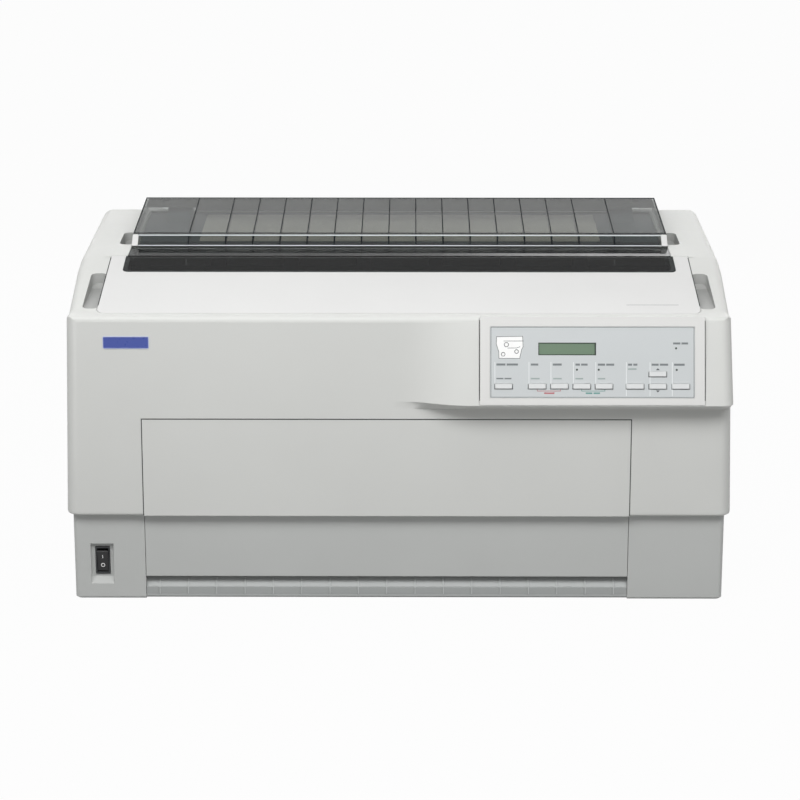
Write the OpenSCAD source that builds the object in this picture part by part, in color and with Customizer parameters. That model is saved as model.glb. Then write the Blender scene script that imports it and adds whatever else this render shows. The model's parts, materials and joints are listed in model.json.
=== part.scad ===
// Wide-carriage dot matrix printer with front and rear paper feeds.
// Millimetres. X to the right seen from the front, Y to the rear, Z up.
// Origin: centre of the footprint, on the surface that the feet stand on.

/* [Housing] */
// Width of the housing at its lower edge
housing_w = 700; // [680:1:720]
// How far each side draws in between its lower edge and the rim
side_draw = 3; // [1:0.5:6]
// How far each side draws in towards the front, at the lower edge
front_draw_low = 2.4; // [1:0.1:4]
// How far each side draws in towards the front, at the rim
front_draw_top = 4.9; // [2:0.1:6]
// Front face of the housing ahead of the origin, at its lower edge
front_reach = 172; // [168:1:178]
// Rear face of the housing behind the origin
rear_reach = 191; // [189:1:200]
// How far the front face leans back over its height
front_lean = 5; // [2:0.5:8]
// Height of the joint between base and housing
split_h = 95; // [90:1:98]
// Height of the flat rim at the top of the front face
rim_h = 306.3; // [304:0.1:312]
// Slope of the printer cover in degrees
cover_slope = 15; // [13:0.5:17]
// Slope of the rails beside the eject cover in degrees
rail_slope = 5.6; // [4:0.2:7]
// Thickness of the housing walls
wall = 4; // [3:0.5:5]
// Thickness of the housing roof
roof = 7; // [6:0.5:8]
// Radius of the upright corners
corner_r = 12; // [10:0.5:16]
// Radius of the long top edges
edge_r = 10; // [7:1:12]

/* [Base] */
// Step from the housing's side to the base's side
base_step = 8; // [5:0.5:9]
// Step from the housing's front to the base's front
base_step_front = 9; // [7:0.5:11]
// Height of the rubber feet
foot_h = 1; // [0.8:0.1:2]
// Radius of the base's upright corners
base_r = 5; // [4:0.5:8]
// Thickness of the base's floor and walls
base_wall = 3.5; // [3:0.5:5]

/* [Covers] */
// Width of the housing beside the printer cover
rail_w = 37; // [34:0.5:40]
// Front edge of the printer cover, ahead of the origin
top_cover_front = 147; // [144:1:150]
// Rear edge of the printer cover, ahead of the origin
top_cover_rear = 14; // [12:1:18]
// Front edge of the smoked window, ahead of the origin
window_front = 52.5; // [44:0.5:60]
// Width of the housing beside the smoked window and the eject cover
smoke_margin = 55; // [54:0.5:58]
// Thickness of the covers
cover_t = 3; // [2.5:0.5:4]
// Width of the housing left of the front cover
front_margin_left = 83.5; // [80:0.5:90]
// Width of the housing right of the front cover
front_margin_right = 108.7; // [104:0.1:114]
// Top edge of the front cover
front_cover_top = 198.8; // [195:0.2:202]
// Lower edge of the front cover
front_cover_low = 26; // [24:0.5:30]
// Width of the housing beside the rear cover
rear_margin = 98; // [90:1:110]
// Lower edge of the rear cover
rear_cover_low = 108; // [104:1:115]
// Top edge of the rear cover
rear_cover_top = 300; // [280:1:310]
// Foot of the eject cover's front wall, behind the origin
eject_foot = 18; // [16:1:22]
// Top of the eject cover's front wall, behind the origin
eject_brow = 34; // [32:1:40]
// Height of the eject cover's front wall over the housing
eject_wall_h = 12.4; // [10:0.2:15]
// Rear edge of the eject cover, behind the origin
eject_rear = 172; // [170:1:178]
// Height of the eject cover's rear edge over the housing
eject_rear_rise = 16.8; // [14:0.2:20]
// Gap around each cover
seam = 0.5; // [0.4:0.1:0.8]

/* [Control panel] */
// Width of the panel
panel_w = 231.3; // [224:0.1:236]
// Width of the housing right of the panel
panel_margin = 35.7; // [34:0.1:40]
// Tilt of the panel from upright, in degrees
panel_tilt = 14.6; // [13:0.2:16]
// Height of the panel's lower edge
panel_low = 219.5; // [218:0.5:224]
// Length of the panel up its slope
panel_l = 91; // [88:0.5:94]
// How far the panel's lower edge stands ahead of the origin
panel_reach = 190.6; // [188:0.2:193]
// Thickness of the panel's plate
panel_t = 3; // [2:0.5:4]
// Margin from the panel's edge to the overlay
overlay_margin = 11; // [9:0.5:12]
// Width of a push button
button_w = 17.4; // [15:0.2:18]
// Height of a push button
button_h = 5.2; // [4:0.2:6]
// Stand of a button above the overlay
button_stand = 1.4; // [1.2:0.1:2]
// Width of the display window
display_w = 58.3; // [50:0.5:62]
// Height of the display window
display_h = 13; // [11:0.5:15]

/* [Mechanism] */
// Distance from the housing's side to the side frame's inner face
frame_margin = 52; // [51:0.5:54]
// Thickness of the side frames
frame_t = 2.5; // [2:0.5:3]
// Radius of the platen
platen_r = 17; // [15:0.5:18]
// Radius of the platen's shaft
platen_shaft_r = 6; // [5:0.5:7]
// Place of the platen's axis behind the origin
platen_y = 5; // [3:0.5:7]
// Height of the platen's axis
platen_z = 262; // [259:0.5:265]
// Gear module
gear_m = 1.5; // [1.5:0.1:1.5]
// Teeth on the platen gear
platen_teeth = 40; // [38:2:42]
// Teeth on the feed pinion
pinion_teeth = 16; // [16:1:18]
// Width of the gears
gear_w = 8; // [6:1:10]
// Radius of the carriage rods
rod_r = 7; // [6:0.5:8]
// Radius of the belt pulleys
pulley_r = 9; // [8.5:0.5:9.5]
// Side of the square tractor shafts
square_shaft = 8; // [7:0.5:8]
// Radius of the tractors' support rods
support_r = 4; // [3:0.5:5]
// Height of the front tractor shaft
front_tractor_z = 155; // [152:1:160]
// Height of the rear tractor shaft
rear_tractor_z = 190; // [180:1:200]
// Distance of both tractor shafts from the origin
tractor_y = 118; // [116:1:120]
// Place of each tractor from the middle
tractor_x = 215; // [205:1:225]
// Radial clearance of every running fit
fit = 0.05; // [0.03:0.01:0.08]

/* [Hidden] */

half_w = housing_w / 2;
cover_x = half_w - rail_w;         // half width of the printer cover
smoke_x = half_w - smoke_margin;   // half width of the smoked pieces
rear_cover_x = half_w - rear_margin;
front_cover_left = half_w - front_margin_left;
front_cover_right = half_w - front_margin_right;
panel_right = half_w - panel_margin;
panel_left = panel_right - panel_w;
frame_x = half_w - frame_margin;
eps = 0.1;
clear = 0.3;                       // gap between pieces that only lie side by side
facets = 32;
rim_r = 5;                         // rounding of the front rim
hem_r = 4;                         // rounding of the housing's lower edge
cap_colour = [0.91, 0.91, 0.90];
case_colour = [0.84, 0.84, 0.83];
base_colour = [0.66, 0.66, 0.65];
smoke_colour = [0.25, 0.27, 0.27, 0.6];
steel_colour = [0.70, 0.71, 0.72];
dark_colour = [0.16, 0.16, 0.17];

// Top of the housing along Y: a flat rim, then the cover's slope, then the rails' slope.
function top_z(y) = y < -top_cover_front ? rim_h
    : y < -top_cover_rear ? rim_h + (y + top_cover_front) * tan(cover_slope)
    : rim_h + (top_cover_front - top_cover_rear) * tan(cover_slope)
        + (y + top_cover_rear) * tan(rail_slope);
// Front face of the housing at height z.
function front_y(z) = -front_reach + front_lean * (z - split_h) / (rim_h - split_h);
// Half width of the housing at height z.
function side_x(z) = half_w - side_draw * (z - split_h) / (rim_h - split_h);
// How far the side draws in at the front corner, at height z.
function front_draw(z) = front_draw_low
    + (front_draw_top - front_draw_low) * (min(z, rim_h) - split_h) / (rim_h - split_h);
draw_end = -40;                    // from here to the rear the sides run straight
inner_side_x = side_x(rim_h + 50) - wall;

// ---- helpers ------------------------------------------------------------------------------

// A profile drawn in (Y, Z) and extruded from x0 to x1.
module along_x(x0, x1) {
    translate([x0, 0, 0])
        rotate([90, 0, 90])
            linear_extrude(x1 - x0)
                children();
}
// A round bar along X.
module bar_x(x0, x1, y, z, r) {
    translate([x0, y, z])
        rotate([0, 90, 0])
            cylinder(h = x1 - x0, r = r, $fn = 64);
}
// A box from its lowest to its highest corner.
module block(low, high) {
    translate(low)
        cube(high - low);
}
// A layer of the housing's top between y0 and y1, from depth d0 down to depth d1.
module top_layer(x0, x1, y0, y1, d0, d1, undercut = 0) {
    knees = [for (y = [-top_cover_front, -top_cover_rear]) if (y > y0 && y < y1) y];
    ys = concat([y0], knees, [y1]);
    last = len(ys) - 1;
    along_x(x0, x1)
        polygon(concat(
            [for (y = ys) [y, top_z(y) - d0]],
            [for (i = [last:-1:0]) let (y = ys[i] + (i == 0 ? undercut : 0)) [y, top_z(y) - d1]]));
}
// A rounded rectangle in plan.
module round_plan(x0, x1, y0, y1, r) {
    translate([(x0 + x1) / 2, (y0 + y1) / 2])
        square([x1 - x0, y1 - y0 - 2 * r], center = true);
    translate([(x0 + x1) / 2, (y0 + y1) / 2])
        square([x1 - x0 - 2 * r, y1 - y0], center = true);
    for (x = [x0 + r, x1 - r], y = [y0 + r, y1 - r])
        translate([x, y])
            circle(r, $fn = 48);
}
// Points of an involute gear, with a tooth centred on +X.
function inv_deg(rb, r) = let (a = acos(min(1, rb / r))) tan(a) * 180 / PI - a;
function gear_points(teeth, m, play = 0.12) =
    let (
        rp = teeth * m / 2,
        rb = rp * cos(20),
        root = rp - 1.25 * m,
        tip = rp + m,
        start = max(rb, root),
        radii = [root, start, start + (tip - start) * 0.35, start + (tip - start) * 0.7, tip],
        half = [for (r = radii)
            90 / teeth - play / rp * 90 / PI + inv_deg(rb, rp) - inv_deg(rb, max(r, rb))]
    )
    [for (i = [0:teeth - 1])
        for (k = [0:9])
            let (
                rising = k < 5,
                j = rising ? k : 9 - k,
                a = 360 / teeth * i + (rising ? -half[j] : half[j])
            )
            radii[j] * [cos(a), sin(a)]];
module gear(teeth, w, bore, turn) {
    difference() {
        linear_extrude(w)
            rotate(turn)
                polygon(gear_points(teeth, gear_m));
        translate([0, 0, -eps])
            cylinder(h = w + 2 * eps, r = bore, $fn = 64);
    }
}
// Places children on the tilted panel: X across, Y up the slope from its lower edge, Z outward.
module on_panel() {
    translate([0, -panel_reach, panel_low])
        rotate([90 - panel_tilt, 0, 0])
            children();
}
module plate(x0, x1, v0, v1, w0, w1, r = 1) {
    translate([0, 0, w0])
        linear_extrude(w1 - w0)
            round_plan(x0, x1, v0, v1, r);
}

// ---- housing ------------------------------------------------------------------------------

// Joins a stack of closed outlines, each a list of points, into one solid with fanned ends.
function middle_of(row) = [for (k = [0:2]) (min([for (p = row) p[k]]) + max([for (p = row) p[k]])) / 2];
module loft(rows) {
    n = len(rows[0]);
    last = len(rows) - 1;
    count = n * len(rows);
    polyhedron(
        points = concat([for (row = rows) for (p = row) p], [middle_of(rows[0]), middle_of(rows[last])]),
        faces = [for (i = [0:n - 1])
            let (j = (i + 1) % n)
            each concat(
                [[count, i, j], [count + 1, last * n + j, last * n + i]],
                [for (k = [0:last - 1])
                    let (a = k * n, b = a + n)
                    each [[a + i, b + i, b + j], [a + i, b + j, a + j]]])],
        convexity = 8);
}
function arc(cx, cy, r, a0, a1, steps) =
    [for (i = [0:steps]) let (a = a0 + (a1 - a0) * i / steps) [cx + r * cos(a), cy + r * sin(a)]];
function ease(t) = t * t * (3 - 2 * t);

// The bulge behind the control panel swells out of the front face and wraps round the corner.
bulge_start = panel_left - 89;     // where the swell begins
bulge_full = panel_left - 10;      // where it reaches its full depth
bulge_steps = 8;
corner_steps = 7;
bulge_lip = 9.5;                   // height of the sloping underside
bulge_full_depth = panel_reach + front_y(panel_low - 1);
bulge_top = rim_h - rim_r;
function bulge_share(z) = z < panel_low - bulge_lip ? 0
    : z < panel_low - 1
        ? 0.93 * (z - panel_low + bulge_lip) / (bulge_lip - 1) + (z > panel_low - 2 ? 0.07 : 0)
    : max(0, (bulge_top - z) / (bulge_top - panel_low + 1));
// The housing's outline in plan at height z, drawn in by tuck at its lower hem.
function house_plan(z, tuck) =
    let (
        share = bulge_share(z),
        depth = bulge_full_depth * share,
        fy = front_y(z) + tuck,
        sx = side_x(z) - tuck,
        fx = sx - front_draw(z),
        ry = rear_reach - tuck,
        r = corner_r,
        outline = concat(
            arc(r - fx, fy + r, r, 180, 270, corner_steps),
            [for (i = [0:bulge_steps])
                let (t = i / bulge_steps)
                [bulge_start + (bulge_full - bulge_start) * t, fy - depth * ease(t)]],
            arc(fx - r, fy - depth + r, r, -90, 0, corner_steps),
            [[sx, draw_end]],
            arc(sx - r, ry - r, r, 0, 90, corner_steps),
            arc(r - sx, ry - r, r, 90, 180, corner_steps),
            [[-sx, draw_end]]))
    [for (p = outline) [p[0], p[1], z]];
module house_walls()
    loft([
        house_plan(split_h, hem_r * 0.6), house_plan(split_h + hem_r * 0.4, hem_r * 0.15),
        house_plan(split_h + hem_r, 0), house_plan(panel_low - bulge_lip, 0), house_plan(panel_low - 2, 0),
        house_plan(panel_low - 1, 0), house_plan(bulge_top, 0), house_plan(rim_h + 90, 0)
    ]);
// The space under the sloping roof: upright sections along Y with rounded top corners.
function roof_drop(y) =
    let (
        front = y - front_y(rim_h),
        rear = rear_reach - y
    )
    front < 0 ? rim_r : front < rim_r ? rim_r - sqrt(rim_r * rim_r - pow(rim_r - front, 2))
    : rear < 0 ? edge_r : rear < edge_r ? edge_r - sqrt(edge_r * edge_r - pow(edge_r - rear, 2))
    : 0;
function roof_section(y) =
    let (
        top = top_z(y) - roof_drop(y),
        e = min(edge_r, max(rim_r, rim_r + (y + top_cover_front) / 2)),
        share = min(1, max(0, (draw_end - y) / (draw_end - front_y(rim_h) - corner_r))),
        w = side_x(top - e) - front_draw(top - e) * share + 0.05,
        half = concat([[housing_w / 2 + 8, 80], [side_x(260) + 5, 260]], arc(w - e, top - e, e, 0, 90, 6))
    )
    concat([for (p = half) [-p[0], y, p[1]]], [for (i = [len(half) - 1:-1:0]) [half[i][0], y, half[i][1]]]);
module house_roof() {
    front = front_y(rim_h);
    stations = concat(
        [-panel_reach - 10], [for (a = [0, 22, 45, 67, 90]) front + rim_r * (1 - cos(a))],
        [-top_cover_front, -top_cover_front + 10, draw_end, -top_cover_rear],
        [for (a = [90, 67, 45, 22, 0]) rear_reach - edge_r * (1 - cos(a))], [rear_reach + 5]);
    loft([for (y = stations) roof_section(y)]);
}
module house_cavity() {
    x = inner_side_x;
    fx = x - front_draw_top;
    y0 = front_y(split_h) + wall + front_lean;
    y1 = rear_reach - wall;
    c = corner_r - 6;                  // chamfer of the inner corners
    intersection() {
        translate([0, 0, split_h - 10])
            linear_extrude(400)
                polygon([[-fx + c, y0], [fx - c, y0], [fx, y0 + c], [x, draw_end], [x, y1 - c], [x - c, y1],
                         [c - x, y1], [-x, y1 - c], [-x, draw_end], [-fx, y0 + c]]);
        top_layer(-housing_w, housing_w, front_y(split_h), rear_reach, roof, 360);
    }
}

ledge = 4.3;                       // shelf that the printer cover rests on
cover_r = 9;                       // radius of the printer cover's front corners
deck_half = smoke_x - 6;
deck_rear = eject_rear - 4;
hinge_r = 1.3;                     // pins of the covers
top_hinge = [-top_cover_rear - 2, top_z(-top_cover_rear - 2) - cover_t / 2];
front_hinge = [-front_reach + base_step_front + 2, front_cover_low + 3];
rear_hinge = [rear_reach - 2, rear_cover_low + 2.6];
house_low = split_h + clear;
grip_x = 16;                       // width of the finger recesses
grip_r = 6;                        // their corner radius
grip_front = [-137, -56];
grip_rear = [32, 81];
grip_front_depth = 16;
grip_rear_depth = 14;
fan_side = 60;
fan_t = 11.5;
fan_at = [-inner_side_x + clear + fan_t, 95, 160];
vent_pitch = 7;
vent_w = 3;

module upper_housing() color(case_colour) {
    difference() {
        union() {
            difference() {
                intersection() {
                    house_walls();
                    house_roof();
                }
                difference() {
                    house_cavity();
                    // material left round the finger recesses
                    for (s = [-1, 1]) {
                        grip_block(s * cover_x, s * (cover_x + grip_x), grip_front, grip_front_depth + 3);
                        grip_block(s * smoke_x, s * (smoke_x + grip_x), grip_rear, grip_rear_depth + 3);
                    }
                }
                block([-housing_w, -300, 0], [housing_w, 300, house_low]);
            }
            rear_cover_ears();
        }
        top_openings();
        // finger recesses beside both covers
        for (s = [-1, 1]) {
            grip(s * (cover_x - 1), s * (cover_x + grip_x), grip_front, grip_front_depth, 0.15);
            grip(s * (smoke_x - 0.5), s * (smoke_x + grip_x - 1), grip_rear, grip_rear_depth, 0.45);
        }
        // pockets and holes of the control panel
        on_panel() {
            plate(panel_left - 0.3, panel_right + 0.3, -0.3, panel_l + 0.3, -panel_t - 0.2, 20, 2);
            plate(panel_left + 6, panel_right - 6, 6, panel_l - 6, -30, 1, 2);
        }
        // front and rear openings
        block([-front_cover_left - seam, -300, 0],
              [front_cover_right + seam, -front_reach + 20, front_cover_top + seam]);
        block([-rear_cover_x - seam, rear_reach - 12, rear_cover_low - seam],
              [rear_cover_x + seam, 300, rear_cover_top + seam]);
        hinge_bores(cover_x, top_hinge);
        hinge_bores(rear_cover_x, rear_hinge);
        // room for the turning edges of the printer cover and the rear cover
        bar_x(-cover_x - seam, cover_x + seam, top_hinge[0], top_hinge[1], 3.1);
        bar_x(-rear_cover_x - seam, rear_cover_x + seam, rear_hinge[0], rear_hinge[1], 3.5);
        side_vents();
    }
}
// Ears that carry the rear cover's pins.
module rear_cover_ears() {
    inner = rear_cover_x + seam;
    for (s = [-1, 1])
        block([s > 0 ? inner : -inner - 8, rear_reach - 9, rear_cover_low - 4],
              [s > 0 ? inner + 8 : -inner, rear_reach - 1, rear_cover_low + 10]);
}
// The openings under the printer cover and the eject cover, each with the shelf that its cover lies on.
module top_openings() {
    low = -top_cover_front - seam - 0.3;
    top_layer(-cover_x + ledge, cover_x - ledge, -top_cover_front + ledge, -top_cover_rear + 1, -20, 30);
    intersection() {
        top_layer(-cover_x - seam, cover_x + seam, low, -top_cover_rear + 1, -20, cover_t + clear);
        translate([0, 0, 200])
            linear_extrude(300)
                round_plan(-cover_x - seam, cover_x + seam, low, 60, cover_r + seam);
    }
    top_layer(-smoke_x - seam, smoke_x + seam, -top_cover_rear - eps, eject_foot + 8, -20, cover_t);
    block([-deck_half - clear, -top_cover_rear - eps, 300], [deck_half + clear, deck_rear + clear, 400]);
}
module hinge_bores(x, at) {
    for (s = [-1, 1])
        bar_x(s > 0 ? x - 1 : -x - 6, s > 0 ? x + 6 : -x + 1, at[0], at[1], hinge_r + fit);
}
// Air slots over the fan and on the other side.
module side_vents() {
    inner = inner_side_x - 2;
    for (s = [-1, 1], i = [0:8])
        block([s > 0 ? inner : -housing_w, fan_at[1] - 30 + i * vent_pitch, fan_at[2] - 24],
              [s > 0 ? housing_w : -inner, fan_at[1] - 30 + i * vent_pitch + vent_w, fan_at[2] + 24]);
}
module grip_block(xa, xb, span, depth) {
    top_layer(min(xa, xb) - 3, max(xa, xb) + 3, span[0] - 3, span[1] + 3, -1, depth);
}
// A finger recess with round corners; its floor rises from the rear to a share of its depth at the front.
module grip(xa, xb, span, depth, front_share) {
    intersection() {
        translate([0, 0, 250])
            linear_extrude(150)
                round_plan(min(xa, xb), max(xa, xb), span[0], span[1], grip_r);
        along_x(min(xa, xb) - 1, max(xa, xb) + 1)
            polygon([[span[0] - 1, top_z(span[0]) - depth * front_share],
                     [span[1] - 5, top_z(span[1] - 5) - depth + 1.4],
                     [span[1] + 1, top_z(span[1] + 1) - depth + 6],
                     [span[1] + 1, 400], [span[0] - 1, 400]]);
    }
}

// ---- base ---------------------------------------------------------------------------------

base_x = half_w - base_step;
base_front = -front_reach + base_step_front;
base_rear = rear_reach - 5;
base_top = split_h;
floor_z = foot_h + base_wall;
floor_front = base_front + base_wall + 2;
cheek_t = 4;
guide_top = front_cover_low - seam;
switch_at = [37.5 - half_w, base_front, 42.5];
switch_w = 15;
switch_h = 30;
inlet_at = [half_w - 80, base_rear, 48];
port_a = [-200, base_rear, 45];
port_b = [-110, base_rear, 45];
foot_at = [for (x = [-1, 1], y = [-1, 1]) [x * (base_x - 37), y > 0 ? 150 : -125]];

module base_form(inset) {
    r = base_r - inset;
    hull() {
        translate([0, 0, foot_h + 2 + inset])
            linear_extrude(base_top - foot_h - 2)
                round_plan(-base_x + inset, base_x - inset, base_front + inset, base_rear - inset, r);
        translate([0, 0, foot_h + inset])
            linear_extrude(1)
                round_plan(-base_x + inset + 2, base_x - inset - 2,
                           base_front + inset + 2, base_rear - inset - 2, r);
    }
}
module base_case() color(base_colour) {
    difference() {
        union() {
            difference() {
                base_form(0);
                base_form(base_wall);
            }
            // cheeks beside the front cover, and the boss behind the power switch
            for (x = [-front_cover_left - seam - cheek_t, front_cover_right + seam])
                block([x, base_front + 1, floor_z - 1], [x + cheek_t, base_front + 40, base_top - 4]);
            block([switch_at[0] - 13, base_front + 1, switch_at[2] - 28],
                  [switch_at[0] + 13, base_front + 12, switch_at[2] + 24]);
            // posts of the circuit board and of the power supply
            for (x = board_posts[0], y = board_posts[1])
                translate([x, y, floor_z - 1])
                    cylinder(h = board_z - floor_z + 1, r = 4, $fn = 24);
        }
        block([-housing_w, -300, base_top - 0.01], [housing_w, 300, base_top + 20]);
        // opening of the front cover and of the paper guide
        block([-front_cover_left - seam, -300, -1], [front_cover_right + seam, floor_front, 200]);
        // power switch, inlet and ports
        switch_recess();
        block([switch_at[0] - switch_w / 2 - 0.2, base_front - 1, switch_at[2] - switch_h / 2 - 0.2],
              [switch_at[0] + switch_w / 2 + 0.2, base_front + 20, switch_at[2] + switch_h / 2 + 0.2]);
        block(inlet_at - [inlet_w / 2 + 0.2, 20, inlet_h / 2 + 0.2],
              inlet_at + [inlet_w / 2 + 0.2, 20, inlet_h / 2 + 0.2]);
        for (p = [port_a, port_b])
            block(p - [port_w / 2 + 0.2, 20, port_h / 2 + 0.2],
                  p + [port_w / 2 + 0.2, 20, port_h / 2 + 0.2]);
        // bores of the front cover's pins
        for (x = [-front_cover_left - seam - cheek_t - 1, front_cover_right + seam - 1])
            bar_x(x, x + cheek_t + 2, front_hinge[0], front_hinge[1], hinge_r + fit);
        // sockets of the feet
        for (p = foot_at)
            translate([p[0], p[1], 0])
                cylinder(h = foot_h + 1, r = 9 + fit, $fn = 48);
        // air slots in the rear wall
        for (i = [0:11])
            block([60 + i * 9, base_rear - 10, 30], [64 + i * 9, base_rear + 1, 70]);
    }
}
// The scooped recess round the power switch, open to the front.
module switch_recess() {
    along_x(switch_at[0] - switch_w / 2 - 4.5, switch_at[0] + switch_w / 2 + 4.5)
        polygon([[base_front - 1, switch_at[2] + switch_h / 2 + 4],
                 [base_front + 4, switch_at[2] + switch_h / 2 + 4],
                 [base_front + 4, switch_at[2] - switch_h / 2 - 3],
                 [base_front, switch_at[2] - switch_h / 2 - 10],
                 [base_front - 1, switch_at[2] - switch_h / 2 - 10]]);
}
module rubber_feet() color(dark_colour)
    for (p = foot_at)
        translate([p[0], p[1], 0])
            rotate_extrude($fn = 48)
                polygon([[0, 0], [8, 0], [9, 1], [9, foot_h + 1], [0, foot_h + 1]]);

// Ribbed ramp that leads paper in under the front cover.
guide_x = [-front_cover_left - seam + clear, front_cover_right + seam - clear];
guide_pitch = 30;
guide_low = 3.6;
guide_step = 14;                   // the toe below this height stands out
module front_paper_guide() color([0.55, 0.55, 0.54]) {
    y0 = base_front + 1;
    toe = floor_front - clear;
    along_x(guide_x[0], guide_x[1])
        polygon([[y0, guide_low], [toe, guide_low], [toe, floor_z + clear], [y0 + 60, floor_z + clear],
                 [y0 + 60, guide_top + 12], [y0 + 30, guide_top + 2], [y0 + 9, guide_top - 1],
                 [y0 + 1.6, guide_step], [y0, guide_step]]);
    middle = (guide_x[0] + guide_x[1]) / 2;
    for (k = [-8:8])
        along_x(middle + k * guide_pitch - 1.2, middle + k * guide_pitch + 1.2)
            polygon([[y0 + 0.4, guide_step - 1], [y0 + 8, guide_step - 1], [y0 + 10, guide_top - 2.5],
                     [y0 + 6.9, guide_top - 2.5]]);
}

// ---- covers -------------------------------------------------------------------------------

module side_pins(x, at, out = 4) {
    for (s = [-1, 1])
        bar_x(s > 0 ? x - 1 : -x - out, s > 0 ? x + out : -x + 1, at[0], at[1], hinge_r);
}
module top_cover() color(cap_colour) {
    difference() {
        union() {
            intersection() {
                top_layer(-cover_x, cover_x, -top_cover_front, -top_cover_rear, 0, cover_t, 1.2);
                linear_extrude(400)
                    round_plan(-cover_x, cover_x, -top_cover_front, 60, cover_r);
            }
            // stiffening flanges under the panel
            for (s = [-1, 1])
                top_layer(s * (cover_x - 8) - 1, s * (cover_x - 8) + 1, -124, -24, cover_t - eps, 12);
            top_layer(-cover_x + 8, cover_x - 8, -126, -124, cover_t - eps, 12);
        }
        // window opening with a step that the pane lies on
        window_layer(0, 0, -5, 1.2);
        window_layer(5, 0, -5, 20);
    }
    side_pins(cover_x, top_hinge);
}
window_x = smoke_x + 2;
window_r = 6;
// A layer of the window between two depths, drawn in by inset at the front and sides.
module window_layer(inset, rear, d0, d1) {
    intersection() {
        top_layer(-window_x + inset, window_x - inset, -window_front + inset, -rear, d0, d1);
        translate([0, 0, 200])
            linear_extrude(300)
                round_plan(-window_x + inset, window_x - inset, -window_front + inset, 60, window_r);
    }
}
module top_cover_window() color(smoke_colour) {
    window_layer(0.2, top_cover_rear + 0.2, 0, 1.2);
    window_layer(5.2, top_cover_rear + 0.2, 1.1, cover_t);
}

eject_front_h = top_z(eject_foot) + eject_wall_h;
eject_rear_h = top_z(eject_rear) + eject_rear_rise;
eject_hinge = [eject_rear - 6, eject_rear_h - 9.4];
eject_drop = (eject_rear_h - eject_front_h) / (eject_rear - eject_brow);
function eject_z(y) = eject_front_h + (y - eject_brow) * eject_drop;
eject_rib_pitch = 30;
eject_rib_middle = 3;
lug_x = [smoke_x - 27, smoke_x - 19];
module eject_cover() color(smoke_colour) {
    lip_y = -top_cover_rear + 1;
    // lip in front of the wall, level with the printer cover
    top_layer(-smoke_x, smoke_x, lip_y, eject_foot + 1, 0, cover_t - 0.5);
    // front wall and top
    along_x(-smoke_x, smoke_x)
        polygon([[eject_foot, top_z(eject_foot)], [eject_brow, eject_front_h], [eject_rear, eject_rear_h],
                 [eject_rear, eject_rear_h - cover_t], [eject_brow + 2, eject_z(eject_brow + 2) - cover_t],
                 [eject_foot + 3, top_z(eject_foot) - cover_t + 0.5], [eject_foot, top_z(eject_foot) - cover_t + 0.5]]);
    // ends
    for (x = [-smoke_x, smoke_x - 3])
        along_x(x, x + 3)
            polygon([[eject_foot + 1, top_z(eject_foot) + 0.4], [eject_brow, eject_front_h - 1],
                     [eject_hinge[0] - 1, eject_z(eject_hinge[0] - 1) - 1],
                     [eject_hinge[0] - 1, top_z(eject_hinge[0]) + 0.5]]);
    // paper ribs under the top
    for (k = [-7:8]) {
        x = eject_rib_middle + (k - 0.5) * eject_rib_pitch + (k == -7 ? -11 : k == 8 ? 9 : 0);
        along_x(x - 0.8, x + 0.8)
            polygon([[eject_foot + 4, top_z(eject_foot) + 0.5], [eject_brow + 1, eject_front_h - 1.5],
                     [eject_hinge[0] - 8, eject_z(eject_hinge[0] - 8) - 1],
                     [eject_hinge[0] - 8, eject_z(eject_hinge[0] - 8) - 7], [eject_brow + 8, eject_front_h - 8]]);
    }
    // hinge lugs
    for (s = [-1, 1])
        difference() {
            along_x(s > 0 ? lug_x[0] : -lug_x[1], s > 0 ? lug_x[1] : -lug_x[0])
                union() {
                    translate(eject_hinge)
                        circle(5, $fn = 48);
                    polygon([[eject_hinge[0] - 5, eject_hinge[1]], [eject_hinge[0] + 5, eject_hinge[1]],
                             [eject_hinge[0] + 5, eject_z(eject_hinge[0] + 5) - 1],
                             [eject_hinge[0] - 5, eject_z(eject_hinge[0] - 5) - 1]]);
                }
            bar_x(s > 0 ? lug_x[0] - 1 : -lug_x[1] - 1, s > 0 ? lug_x[1] + 1 : -lug_x[0] + 1,
                  eject_hinge[0], eject_hinge[1], 2.5 + fit);
        }
}
deck_front = eject_brow + 14;
deck_drop = 2;
block_x = [smoke_x - 55, smoke_x - 27.5];
module eject_deck() color([0.62, 0.63, 0.61]) {
    top_layer(-deck_half, deck_half, deck_front, deck_rear, deck_drop, deck_drop + 4);
    // hinge blocks and their pins
    for (s = [-1, 1]) {
        along_x(s > 0 ? block_x[0] : -block_x[1], s > 0 ? block_x[1] : -block_x[0])
            union() {
                polygon([[deck_rear - 45, top_z(deck_rear - 45) - deck_drop - 1],
                         [deck_rear, top_z(deck_rear) - deck_drop - 1], [deck_rear, eject_hinge[1] - 2],
                         [eject_hinge[0], eject_hinge[1] + 4], [deck_rear - 30, eject_hinge[1] - 6]]);
                translate(eject_hinge)
                    circle(4.5, $fn = 48);
            }
        bar_x(s > 0 ? block_x[1] - 1 : -block_x[1] - 10, s > 0 ? block_x[1] + 10 : -block_x[1] + 1,
              eject_hinge[0], eject_hinge[1], 2.5);
    }
}

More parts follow.
